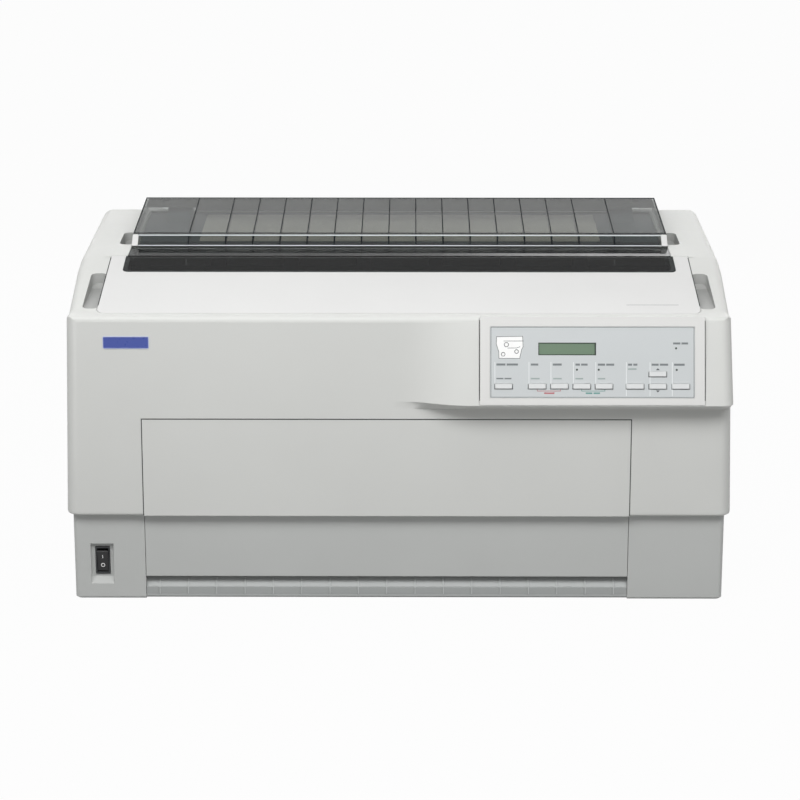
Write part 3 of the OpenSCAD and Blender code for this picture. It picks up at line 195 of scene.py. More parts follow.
@dataclass(frozen=True)
class Finish:
    """A surface finish.

    Attributes:
        name: The material's name.
        rgb: Its sRGB colour.
        roughness: How matt it is.
        grain: Size of its surface texture in metres.
        relief: Depth of that texture in metres.
        mottle: How far the colour drifts over the piece.
        edge: Radius that its edges catch light over, in metres.
        slot: The record's material slot that it stands for; not used.
        bends: Its refractive index, which sets its gloss.
    """

    name: str
    rgb: tuple[int, int, int]
    roughness: float
    grain: float
    relief: float
    mottle: float
    edge: float
    slot: str
    bends: float = 1.46

    def shades(self) -> tuple[Sequence[float], Sequence[float]]:
        """Gives the finish's two shades.

        Returns:
            The darker and the lighter colour.
        """
        low = [c * (1 - self.mottle) for c in self.rgb]
        high = [min(255, c * (1 + self.mottle)) for c in self.rgb]
        return linear(low), linear(high)

    def build(self) -> bpy.types.Material:
        """Returns the material, made once."""
        found = bpy.data.materials.get(self.name)
        return found if found else self.make()

    def make(self) -> bpy.types.Material:
        """Makes the material's nodes.

        Returns:
            The material.
        """
        nodes = Nodes(self.name)
        nodes.colour(nodes.noise(0.11, 2.0), *self.shades())
        wear = nodes.noise(self.grain * 6, 4.0)
        nodes.spread(wear, self.roughness - 0.05, self.roughness + 0.06, "Roughness")
        nodes.relief(nodes.noise(self.grain, 2.0, 0.6), self.relief, self.edge)
        nodes.shader.inputs["IOR"].default_value = self.bends
        return nodes.material


@dataclass(frozen=True)
class Metal(Finish):
    """A bare or plated metal, with fine marks drawn along one direction."""

    def make(self) -> bpy.types.Material:
        """Makes the material's nodes.

        Returns:
            The material.
        """
        nodes = Nodes(self.name)
        nodes.colour(nodes.noise(0.04, 3.0), *self.shades())
        stretch = nodes.add("ShaderNodeMapping")
        stretch.inputs["Scale"].default_value = (0.06, 1.0, 1.0)
        nodes.join(nodes.place, "Object", stretch, "Vector")
        brush = nodes.add("ShaderNodeTexNoise", Scale=1 / self.grain, Detail=4.0, Roughness=0.6)
        nodes.join(stretch, "Vector", brush, "Vector")
        nodes.spread(brush, self.roughness - 0.06, self.roughness + 0.1, "Roughness")
        nodes.relief(brush, self.relief, self.edge)
        nodes.shader.inputs["Metallic"].default_value = 1.0
        return nodes.material


@dataclass(frozen=True)
class Smoke(Finish):
    """Smoked clear plastic, with faint haze and polishing marks.

    Attributes:
        passes: The share of light that passes through.
    """

    passes: float = 0.8

    def make(self) -> bpy.types.Material:
        """Makes the material's nodes.

        Returns:
            The material.
        """
        nodes = Nodes(self.name)
        nodes.colour(nodes.noise(0.15, 2.0), *self.shades())
        nodes.spread(nodes.noise(0.03, 4.0), self.roughness, self.roughness + 0.03, "Roughness")
        nodes.relief(nodes.noise(self.grain, 2.0), self.relief)
        nodes.shader.inputs["Transmission Weight"].default_value = self.passes
        nodes.shader.inputs["IOR"].default_value = self.bends
        return nodes.material


class Plastics:
    """The printer's moulded plastics, with darker and lighter copies of some that paint shade and highlights.
    """

    COVER = Finish("plastic_cover", (219, 219, 218), 0.5, 0.0011, 0.000012, 0.006, 0.0007, "cover_plastic")
    HOUSING = Finish(
        "plastic_housing", (214, 215, 212), 0.52, 0.0011, 0.000014, 0.006, 0.0009, "housing_plastic"
    )
    BEZEL = Finish("plastic_bezel", (221, 221, 219), 0.5, 0.0011, 0.000012, 0.005, 0.0007, "housing_plastic")
    BASE = Finish("plastic_base", (195, 197, 195), 0.55, 0.0011, 0.000016, 0.008, 0.0009, "base_plastic")
    GUIDE = Finish("plastic_guide", (182, 185, 184), 0.5, 0.0010, 0.000014, 0.008, 0.0005, "guide_plastic")
    # painted highlight and painted shade on the guide's ribbed band: a lighter and a darker copy of its
    # plastic
    GUIDE_PAINTED_HIGHLIGHT = Finish("guide_painted_highlight", (204, 207, 206), 0.5, 0.0010, 0.000014, 0.008, 0.0005, "guide_plastic")
    GUIDE_PAINTED_SHADE = Finish(
        "guide_painted_shade", (170, 173, 172), 0.5, 0.0010, 0.000014, 0.008, 0.0005, "guide_plastic"
    )
    DECK = Finish("plastic_deck", (240, 235, 221), 0.55, 0.0012, 0.000016, 0.01, 0.0005, "deck_plastic")
    # painted shade: a darker copy of the housing plastic for the faces inside its finger recesses
    RECESS_PAINTED_SHADE = Finish("plastic_recess_painted_shade", (172, 173, 171), 0.55, 0.0011, 0.000014, 0.006, 0.0005, "housing_plastic")
    DECK_SIDE = Finish(
        "plastic_deck_side", (112, 122, 128), 0.55, 0.0012, 0.000016, 0.01, 0.0005, "deck_plastic"
    )
    BUTTON = Finish(
        "plastic_button", (222, 224, 224), 0.42, 0.0006, 0.000006, 0.004, 0.0005, "button_plastic"
    )
    BLACK = Finish("plastic_black", (24, 24, 26), 0.36, 0.0008, 0.00001, 0.03, 0.0004, "black_plastic")
    DARK = Finish("plastic_dark", (48, 50, 52), 0.5, 0.001, 0.000014, 0.04, 0.0005, "dark_plastic")
    TRACTOR = Finish("plastic_tractor", (86, 90, 94), 0.5, 0.0009, 0.000012, 0.03, 0.0005, "tractor_plastic")
    LID = Finish("plastic_lid", (70, 98, 132), 0.42, 0.0009, 0.00001, 0.02, 0.0005, "lid_plastic")
    GEAR = Finish("plastic_gear", (222, 217, 200), 0.4, 0.0007, 0.000006, 0.015, 0.0002, "gear_plastic")
    LAMINATE = Finish("board_laminate", (34, 92, 56), 0.35, 0.0016, 0.000012, 0.08, 0.0002, "board_laminate")
    OVERLAY = Finish("film_overlay", (203, 207, 208), 0.38, 0.0005, 0.000004, 0.004, 0.0002, "overlay_film")
    DISPLAY = Finish("display", (112, 134, 112), 0.16, 0.0005, 0.000002, 0.012, 0.0001, "display_glass")
    PLATE = Finish("plate_blue", (72, 88, 164), 0.3, 0.0008, 0.000004, 0.02, 0.0002, "housing_plastic")
    LAMP = Finish("lamp_lens", (84, 92, 88), 0.2, 0.0006, 0.000002, 0.01, 0.0, "overlay_film")
    PLATE_RIM = Finish("plate_rim", (176, 186, 226), 0.3, 0.0008, 0.000004, 0.02, 0.0002, "housing_plastic")


class Others:
    """The printer's metals, rubber, ribbon and smoked plastic, with the painted shade and highlights on the
    smoked plastic and in the seams.
    """

    STEEL = Metal("steel_frame", (176, 178, 180), 0.38, 0.0009, 0.00001, 0.02, 0.0003, "frame_steel")
    ROD = Metal("steel_ground", (200, 202, 204), 0.2, 0.0006, 0.000003, 0.01, 0.0002, "rod_steel")
    PORT = Metal("port_plating", (170, 171, 174), 0.3, 0.0008, 0.000006, 0.02, 0.0002, "port_metal")
    HEAD = Metal("head_casting", (168, 170, 172), 0.46, 0.0012, 0.00002, 0.03, 0.0003, "head_aluminium")
    BRASS = Metal("pinion_brass", (196, 170, 104), 0.32, 0.0007, 0.000006, 0.03, 0.0002, "brass")
    MOTOR = Finish("motor_paint", (66, 68, 72), 0.4, 0.0012, 0.000016, 0.04, 0.0004, "motor_metal")
    RUBBER = Finish("rubber_roller", (38, 38, 39), 0.72, 0.0007, 0.00002, 0.05, 0.0003, "roller_rubber")
    FOOT = Finish("rubber_foot", (34, 34, 34), 0.8, 0.0009, 0.00003, 0.06, 0.0004, "foot_rubber")
    RIBBON = Finish("ribbon_ink", (20, 20, 22), 0.85, 0.0004, 0.00003, 0.08, 0.0, "ribbon_fabric")
    SMOKE = Smoke(
        "smoke_clear", (164, 167, 165), 0.03, 0.002, 0.000002, 0.01, 0.0, "smoke_plastic", 1.21, 0.96
    )
    PANE = Smoke("smoke_pane", (112, 115, 115), 0.03, 0.002, 0.000002, 0.01, 0.0, "smoke_plastic", 1.13, 1.0)
    # painted highlight: pale strips where the eject cover's bends catch the light
    PAINTED_GLINT = Finish("smoke_painted_glint", (208, 213, 215), 0.25, 0.0008, 0.000002, 0.01, 0.0, "smoke_plastic", 1.1)
    # the smoked plastic's tint in its ribs and edges, darkened further as painted shade
    SHADE = Finish("smoke_tint_and_painted_shade", (34, 38, 40), 0.5, 0.0008, 0.000002, 0.02, 0.0, "smoke_plastic", 1.05)
    # painted highlight on the printer cover's pane, and painted shade lining the rear of the eject cover
    PAINTED_SHADE_AND_HIGHLIGHT = Finish("smoke_painted_shade_and_highlight", (77, 78, 77), 0.5, 0.0008, 0.000002, 0.02, 0.0, "smoke_plastic", 1.1)
    # painted shade: dark fillings in the gaps round the covers and beside the bezel, where shade falls
    SEAM_PAINTED_SHADE = Finish("seam_painted_shade", (70, 72, 72), 0.6, 0.0008, 0.000002, 0.02, 0.0, "housing_plastic", 1.05)


class Ink(Enum):
    """The inks printed on the overlay, as sRGB, with the painted shade of the button slots."""

    DARK = (84, 88, 90)
    LEGEND = (128, 133, 135)
    FAINT = (160, 172, 170)
    GREEN = (112, 158, 152)
    RED = (186, 122, 126)
    PALE = (232, 235, 236)
    WHITE = (252, 252, 251)
    FRAME = (128, 132, 134)
    # painted shade in the gaps round the buttons
    SLOT = (112, 116, 118)
    GLASS_EDGE = (62, 70, 64)
    FILM = (204, 208, 209)

    def finish(self) -> Finish:
        """Gives the ink's finish."""
        name = f"ink_{self.name.lower()}"
        return Finish(name, self.value, 0.42, 0.0006, 0.000002, 0.01, 0.0, "overlay_film", 1.3)


# ---- meshes -----------------------------------------------------------------------------------


def link(name: str, mesh: bpy.types.Mesh, finish: Finish, body: str) -> bpy.types.Object:
    """Puts a mesh in the scene with its finish, riding on a body.

    Args:
        name: The piece's name.
        mesh: Its mesh, in place.
        finish: Its finish.
        body: The body that it moves with.

    Returns:
        The new object.
    """
    piece = bpy.data.objects.new(name, mesh)
    bpy.context.scene.collection.objects.link(piece)
    mesh.materials.clear()
    mesh.materials.append(finish.build())
    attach(piece, body)
    return piece


def smooth_by_angle(mesh: bpy.types.Mesh, degrees: float) -> None:
    """Shades a mesh smooth and keeps its sharp edges crisp.

    Args:
        mesh: The mesh.
        degrees: Edges sharper than this stay crisp.
    """
    limit = math.radians(degrees)
    work = bmesh.new()
    work.from_mesh(mesh)
    for face in work.faces:
        face.smooth = True
    for edge in work.edges:
        edge.smooth = len(edge.link_faces) == 2 and edge.calc_face_angle(0.0) < limit
    work.to_mesh(mesh)
    work.free()


def slab(work: bmesh.types.BMesh, outline: Outline, low: float, high: float, place: Matrix) -> None:
    """Adds a flat slab of any outline to a mesh in progress.

    Args:
        work: The mesh in progress.
        outline: The outline, anticlockwise seen from above.
        low: The height of its lower face.
        high: The height of its upper face.
        place: Where it goes.
    """
    rings = [[work.verts.new(place @ Vector((x, y, z))) for x, y in outline] for z in (low, high)]
    count = len(outline)
    work.faces.new(rings[1])
    work.faces.new(list(reversed(rings[0])))
    for i in range(count):
        j = (i + 1) % count
        work.faces.new([rings[0][i], rings[0][j], rings[1][j], rings[1][i]])


def rect(x0: float, x1: float, y0: float, y1: float) -> Outline:
    """Gives a rectangle's outline, anticlockwise."""
    return [(x0, y0), (x1, y0), (x1, y1), (x0, y1)]


def rounded(x0: float, x1: float, y0: float, y1: float, r: float, steps: int = 5) -> Outline:
    """Gives a rectangle's outline with rounded corners, anticlockwise.

    Args:
        x0: Its left end.
        x1: Its right end.
        y0: Its foot.
        y1: Its head.
        r: Radius of its corners.
        steps: Straight pieces in each corner.

    Returns:
        The outline.
    """
    corners = [(x1 - r, y0 + r, -90), (x1 - r, y1 - r, 0), (x0 + r, y1 - r, 90), (x0 + r, y0 + r, 180)]
    turns = [(cx, cy, math.radians(a + 90 * i / steps)) for cx, cy, a in corners for i in range(steps + 1)]
    return [(cx + r * math.cos(a), cy + r * math.sin(a)) for cx, cy, a in turns]


def disc(cx: float, cy: float, r: float, steps: int = 24) -> Outline:
    """Gives a circle's outline, anticlockwise."""
    turns = [math.tau * i / steps for i in range(steps)]
    return [(cx + r * math.cos(a), cy + r * math.sin(a)) for a in turns]


def finished(work: bmesh.types.BMesh, name: str, degrees: float = 30) -> bpy.types.Mesh:
    """Closes a mesh in progress: normals out, smooth by angle.

    Args:
        work: The mesh in progress.
        name: The mesh's name.
        degrees: Edges sharper than this stay crisp.

    Returns:
        The finished mesh.
    """
    bmesh.ops.recalc_face_normals(work, faces=work.faces)
    mesh = bpy.data.meshes.new(name)
    work.to_mesh(mesh)
    work.free()
    smooth_by_angle(mesh, degrees)
    return mesh


def made(work: bmesh.types.BMesh, name: str, finish: Finish, body: str) -> bpy.types.Object:
    """Closes a mesh in progress and puts it in the scene as a piece of the same name."""
    return link(name, finished(work, name), finish, body)


def ring(
    work: bmesh.types.BMesh, outer: Outline, inner: Outline, low: float, high: float, place: Matrix
) -> None:
    """Adds a flat frame between two outlines with the same number of points.

    Args:
        work: The mesh in progress.
        outer: The outer outline, anticlockwise seen from above.
        inner: The inner outline, the same way round.
        low: The height of its lower face.
        high: The height of its upper face.
        place: Where it goes.
    """
    count = len(outer)
    rows = [
        [work.verts.new(place @ Vector((x, y, z))) for x, y in outline]
        for outline, z in ((outer, low), (outer, high), (inner, high), (inner, low))
    ]
    for k in range(4):
        for i in range(count):
            j = (i + 1) % count
            work.faces.new([rows[k][i], rows[k][j], rows[(k + 1) % 4][j], rows[(k + 1) % 4][i]])


def body_of(node: str) -> str:
    """Gives the body that a node belongs to."""
    groups = frame["record"]["behaviour"]["bodies"]
    return next(body for body, members in groups.items() if node in members)


def plane_on(node: str, starts: Sequence[Vector], along: Vector) -> Matrix:
    """Finds a plane on a frame node by casting two rays at it.

    Args:
        node: The frame node.
        starts: Where the two rays start, the second one further up the surface.
        along: The rays' direction.

    Returns:
        A matrix with its origin at the first hit, X to the right, Y up the surface and Z out of it.
    """
    mesh = frame["nodes"][node].data
    tree = BVHTree.FromPolygons([v.co for v in mesh.vertices], [tuple(f.vertices) for f in mesh.polygons])
    hits = []
    for start in starts:
        place = tree.ray_cast(start, along)[0]
        if place is None:
            raise ValueError(f"no surface of {node} lies ahead of {tuple(start)}")
        hits.append(place)
    up = (hits[1] - hits[0]).normalized()
    side = Vector((1, 0, 0))
    turn = Matrix((side, up, side.cross(up))).transposed().to_4x4()
    return Matrix.Translation(hits[0]) @ turn


def plane_above(node: str, x: float, depths: Sequence[float]) -> Matrix:
    """Finds the plane of a node's upper side at x, between two places front to rear."""
    return plane_on(node, [Vector((x, y, SKY)) for y in depths], Vector((0, 0, -1)))


def plane_before(node: str, x: float, heights: Sequence[float]) -> Matrix:
    """Finds the plane of a node's front at x, between two heights."""
    return plane_on(node, [Vector((x, AHEAD, z)) for z in heights], Vector((0, 1, 0)))


def reach(node: str, before: float) -> tuple[float, float]:
    """Gives how far a frame node reaches left and right in front of a plane, which leaves its pins out."""
    across = [v.co.x for v in frame["nodes"][node].data.vertices if v.co.y < before]
    return min(across), max(across)


@dataclass
class Shell:
    """A frame piece dressed as a smooth shell: its own shape, with clean shading and soft edges.

    Attributes:
        node: The frame node that it stands for.
        finish: Its finish.
        smooth: Edges flatter than this, in degrees, shade as one surface.
        bevel: Radius of modelled edges in metres, or 0 for none.
        other: A second finish, for the faces that `where` picks.
        where: Tells from a face whether it takes the second finish.
    """

    node: str
    finish: Finish
    smooth: float = 30.0
    bevel: float = 0.0
    other: Finish | None = None
    where: Callable[[bpy.types.MeshPolygon], bool] | None = None

    def build(self) -> bpy.types.Object:
        """Makes the piece and hides the node that it stands for.

        Returns:
            The new piece.
        """
        mesh = frame["nodes"][self.node].data.copy()
        mesh.name = self.node + "_skin"
        work = bmesh.new()
        work.from_mesh(mesh)
        bmesh.ops.remove_doubles(work, verts=work.verts, dist=2e-6)
        flat = math.radians(0.4)
        bmesh.ops.dissolve_limit(work, angle_limit=flat, verts=work.verts, edges=work.edges, delimit=set())
        work.to_mesh(mesh)
        work.free()
        if mesh.has_custom_normals:
            mesh.attributes.remove(mesh.attributes["custom_normal"])
        smooth_by_angle(mesh, self.smooth)
        piece = link(self.node + "_skin", mesh, self.finish, body_of(self.node))
        if self.other is not None and self.where is not None:
            mesh.materials.append(self.other.build())
            for face in mesh.polygons:
                face.material_index = int(self.where(face))
        if self.bevel > 0:
            edge = piece.modifiers.new("edges", "BEVEL")
            edge.width = self.bevel
            edge.segments = 2
            edge.limit_method = "ANGLE"
            edge.angle_limit = math.radians(35)
            edge.harden_normals = True
        weight = piece.modifiers.new("shading", "WEIGHTED_NORMAL")
        weight.keep_sharp = True
        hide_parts(self.node)
        log.info("%s dressed", self.node)
        return piece


def paint(node: str, finish: Finish) -> None:
    """Gives a frame node its finish and leaves its shape alone.

    Args:
        node: The frame node.
        finish: Its finish.
    """
    piece = frame["nodes"][node]
    material = finish.build()
    if piece.material_slots:
        for place in piece.material_slots:
            place.material = material
    else:
        piece.data.materials.append(material)
    log.info("%s painted", node)


def dress_all(shells: Iterable[Shell]) -> list[bpy.types.Object]:
    """Builds several shells."""
    return [shell.build() for shell in shells]


def paint_all(finishes: dict[str, Finish]) -> None:
    """Paints several frame nodes."""
    for node, finish in finishes.items():
        paint(node, finish)


# ---- the case ---------------------------------------------------------------------------------


@dataclass(frozen=True)
class Recess:
    """A pair of finger recesses in the housing, left and right.

    Attributes:
        side: How far from the middle it lies, inner and outer end.
        run: Its front and rear end.
        start: A point of the slope that it is sunk into, front to rear and height.
        slope: That slope, in degrees.
        deep: How far below the slope its faces lie, least and most.
    """

    side: tuple[float, float]
    run: tuple[float, float]
    start: tuple[float, float]
    slope: float
    deep: tuple[float, float] = (0.0008, 0.02)

    def holds(self, spot: Vector) -> bool:
        """Tells whether a point lies in the recess or on its walls.

        Args:
            spot: The point.

        Returns:
            True where it does.
        """
        if not (self.side[0] < abs(spot.x) < self.side[1] and self.run[0] < spot.y < self.run[1]):
            return False
        y, z = self.start
        top = z + (spot.y - y) * math.tan(math.radians(self.slope))
        return self.deep[0] < top - spot.z < self.deep[1]


@dataclass
class Case:
    """The base, the housing over it and what is fixed to their outside.

    Attributes:
        edge: Radius of modelled edges on the large shells.
        recesses: The housing's finger recesses, beside the printer cover and the eject cover, whose faces
            take painted shade.
        plate_x: Left and right end of the name plate.
        plate_z: Foot and head of the name plate.
        plate_w: Depth of the name plate in the housing, height of its rim and height of its field.
        plate_r: Radius of the corners of its rim and of its field.
        rim: Width of the name plate's bright rim.
        guide_pitch: Distance between the ribs of the front paper guide.
        guide_ribs: How many ribs it has on each side of the middle one.
        guide_z: Foot and head of its ribbed face.
        guide_sink: How deep its field of painted shade and its painted highlights are set in.
        guide_highlight: Left end, right end and height of the painted highlight, beside a rib's middle.
        guide_painted_dark: The same of the painted shadow to the left of it.
    """

    edge: float = 0.0007
    recesses: tuple[Recess, ...] = (
        Recess((0.300, 0.332), (-0.122, -0.048), (-0.147, 0.3063), 15),
        Recess((0.290, 0.313), (0.028, 0.082), (-0.014, 0.34194), 5.6),
    )
    plate_x: tuple[float, float] = (-0.3042, -0.2568)
    plate_z: tuple[float, float] = (0.2733, 0.286)
    plate_w: tuple[float, float, float] = (-0.0003, 0.0006, 0.0004)
    plate_r: tuple[float, float] = (0.0012, 0.0006)
    rim: float = 0.0007
    guide_pitch: float = 0.03
    guide_ribs: int = 8
    guide_z: tuple[float, float] = (0.0062, 0.0136)
    guide_sink: float = -0.0002
    guide_highlight: tuple[float, float, float] = (-0.0004, 0.0005, 0.0004)
    guide_painted_dark: tuple[float, float, float] = (-0.0018, -0.0008, 0.0003)

    def build(self) -> list[bpy.types.Object]:
        """Builds the case.

        Returns:
            Its pieces.
        """
        pieces = dress_all(
            [
                # the faces in the finger recesses take the painted shade
                Shell("upper_housing", Plastics.HOUSING, 24, 0.0, Plastics.RECESS_PAINTED_SHADE, self.in_recess),
                Shell("base_case", Plastics.BASE, 24, self.edge),
                Shell("front_paper_guide", Plastics.GUIDE, 24, 0.0),
                Shell("rubber_feet", Others.FOOT, 30, 0.0005),
            ]
        )
        return [*pieces, *self.name_plate(), *self.guide_face()]

    def in_recess(self, face: bpy.types.MeshPolygon) -> bool:
        """Tells whether a face of the housing lies in one of its recesses, where it takes the painted shade.
        """
        return any(recess.holds(face.center) for recess in self.recesses)

    def guide_face(self) -> list[bpy.types.Object]:
        """Makes the ribbed band on the paper guide in painted light: a field of painted shade, with a painted
        highlight by each rib and a painted shadow to its left.

        Returns:
            The field of painted shade and the painted highlights.
        """
        low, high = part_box("front_paper_guide")
        place = plane_before("front_paper_guide", 0, self.guide_z)
        shade, edges = bmesh.new(), bmesh.new()
        middle, v = (low.x + high.x) / 2, self.guide_z[1] - self.guide_z[0]
        slab(shade, rect(low.x, high.x, 0, v), self.guide_sink, PRINT, place)
        for k in range(-self.guide_ribs, self.guide_ribs + 1):
            x = middle + k * self.guide_pitch
            # by each rib, a painted highlight strip and a painted shadow strip
            for work, (left, right, high_) in ((edges, self.guide_highlight), (shade, self.guide_painted_dark)):
                slab(work, rect(x + left, x + right, 0, v), self.guide_sink, high_, place)
        return [
            made(shade, "guide_painted_shade_band", Plastics.GUIDE_PAINTED_SHADE, "printer"),
            made(edges, "guide_painted_highlights", Plastics.GUIDE_PAINTED_HIGHLIGHT, "printer"),
        ]

    def name_plate(self) -> list[bpy.types.Object]:
        """Makes the bare name plate: a blue field in a bright rim.

        Returns:
            The rim and the field.
        """
        place = plane_before("upper_housing", (self.plate_x[0] + self.plate_x[1]) / 2, self.plate_z)
        half = (self.plate_x[1] - self.plate_x[0]) / 2
        height = self.plate_z[1] - self.plate_z[0]
        foot, rim_top, field_top = self.plate_w
        outer = rounded(-half, half, 0, height, self.plate_r[0])
        inner = rounded(-half + self.rim, half - self.rim, self.rim, height - self.rim, self.plate_r[1])
        rim, middle = bmesh.new(), bmesh.new()
        ring(rim, outer, inner, foot, rim_top, place)
        slab(middle, inner, foot, field_top, place)
        return [
            made(rim, "name_plate_rim", Plastics.PLATE_RIM, "printer"),
            made(middle, "name_plate_field", Plastics.PLATE, "printer"),
        ]


# ---- the covers -------------------------------------------------------------------------------


@dataclass
class Covers:
    """The printer cover with its pane, and the front and rear covers.

    Attributes:
        edge: Radius of modelled edges.
        split: Height where the front cover steps back over the base.
        line_x: Left and right end of the thin rule on the printer cover.
        line_y: Where that rule lies, front to rear.
        line_w: Its width.
        glint_y: Where the painted highlight, a light line across the pane, lies.
        glint_w: Its width.
        glint_in: How far inside the pane's sides it ends.
        gap_w: Width of the painted shade in the gap round the front cover.
        gap_t: How deep its painted shade filling goes and how far it stands out, so that it shows as one even
            line.
        gap_foot: How far above the split it starts.
        face_in: Depth of the front cover's face, how far inside its head and foot its plane is measured,
            and how far inside the printer cover's side that one is.
        slope: Slope of the printer cover, in degrees.
        side_y: Front and rear end of the painted shade in the gaps beside the printer cover.
    """

    edge: float = 0.0006
    split: float = 0.0952
    line_x: tuple[float, float] = (0.2372, 0.2912)
    line_y: float = -0.128
    line_w: float = 0.0006
    glint_y: float = -0.0178
    glint_w: float = 0.0012
    glint_in: float = 0.006
    gap_w: float = 0.0009
    gap_t: tuple[float, float] = (-0.002, 0.00005)
    gap_foot: float = 0.0006
    face_in: tuple[float, float, float] = (0.006, 0.01, 0.004)
    slope: float = 15
    side_y: tuple[float, float] = (-0.13, -0.018)

    def build(self) -> list[bpy.types.Object]:
        """Builds the covers.

        Returns:
            Their pieces.
        """
        pieces = dress_all(
            [
                Shell("top_cover", Plastics.COVER, 24, self.edge),
                Shell("front_cover", Plastics.HOUSING, 24, self.edge, Plastics.BASE, self.below),
                Shell("rear_cover", Plastics.HOUSING, 24, self.edge),
                Shell("top_cover_window", Others.PANE, 24, 0.0),
            ]
        )
        # the rule is print; the glint is a painted highlight and the gap fillings are painted shade
        return pieces + [self.rule(), self.glint(), self.front_gap(), self.side_gaps()]

    def below(self, face: bpy.types.MeshPolygon) -> bool:
        """Tells whether a face of the front cover lies below its step."""
        return face.center.z < self.split

    def front_gap(self) -> bpy.types.Object:
        """Makes the painted shade in the gap above and beside the front cover: a dark filling where shade
        falls.

        Returns:
            The gap's painted shade filling.
        """
        low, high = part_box("front_cover")
        face_depth, inset, _ = self.face_in
        left, right = reach("front_cover", low.y + face_depth)
        place = plane_before("front_cover", 0, (self.split + inset, high.z - inset))
        top, foot = high.z - place.translation.z, self.split + self.gap_foot - place.translation.z
        work, w = bmesh.new(), self.gap_w / 2
        for x in (left, right):
            slab(work, rect(x - w, x + w, foot, top + w), *self.gap_t, place)
        slab(work, rect(left + w, right - w, top - w, top + w), *self.gap_t, place)
        return made(work, "front_cover_gap_painted_shade", Others.SEAM_PAINTED_SHADE, "front_cover")

    def side_gaps(self) -> bpy.types.Object:
        """Makes the painted shade in the gaps beside the printer cover.

        Returns:
            The gaps' painted shade fillings.
        """
        left, right = reach("top_cover", self.side_y[0])
        place = plane_above("top_cover", right - self.face_in[2], self.side_y)
        length = (self.side_y[1] - self.side_y[0]) / math.cos(math.radians(self.slope))
        work, w = bmesh.new(), self.gap_w / 2
        for x in (left - place.translation.x, right - place.translation.x):
            slab(work, rect(x - w, x + w, 0, length), *self.gap_t, place)
        return made(work, "top_cover_gaps_painted_shade", Others.SEAM_PAINTED_SHADE, "top_cover")

    def rule(self) -> bpy.types.Object:
        """Makes the thin rule printed on the printer cover.

        Returns:
            The rule.
        """
        place = plane_above("top_cover", self.line_x[0], (self.line_y, self.line_y + self.line_w))
        work = bmesh.new()
        slab(work, rect(0, self.line_x[1] - self.line_x[0], 0, self.line_w), *INLAY, place)
        return made(work, "cover_rule", Ink.FRAME.finish(), "top_cover")

    def glint(self) -> bpy.types.Object:
        """Makes the painted highlight: a light line that runs across the pane near its rear edge.

        Returns:
            The line.
        """
        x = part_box("top_cover_window")[1].x - self.glint_in
        place = plane_above("top_cover_window", 0, (self.glint_y, self.glint_y + self.glint_w))
        work = bmesh.new()
        slab(work, rect(-x, x, 0, self.glint_w), *INLAY, place)
        return made(work, "pane_painted_highlight", Others.PAINTED_SHADE_AND_HIGHLIGHT, "top_cover")


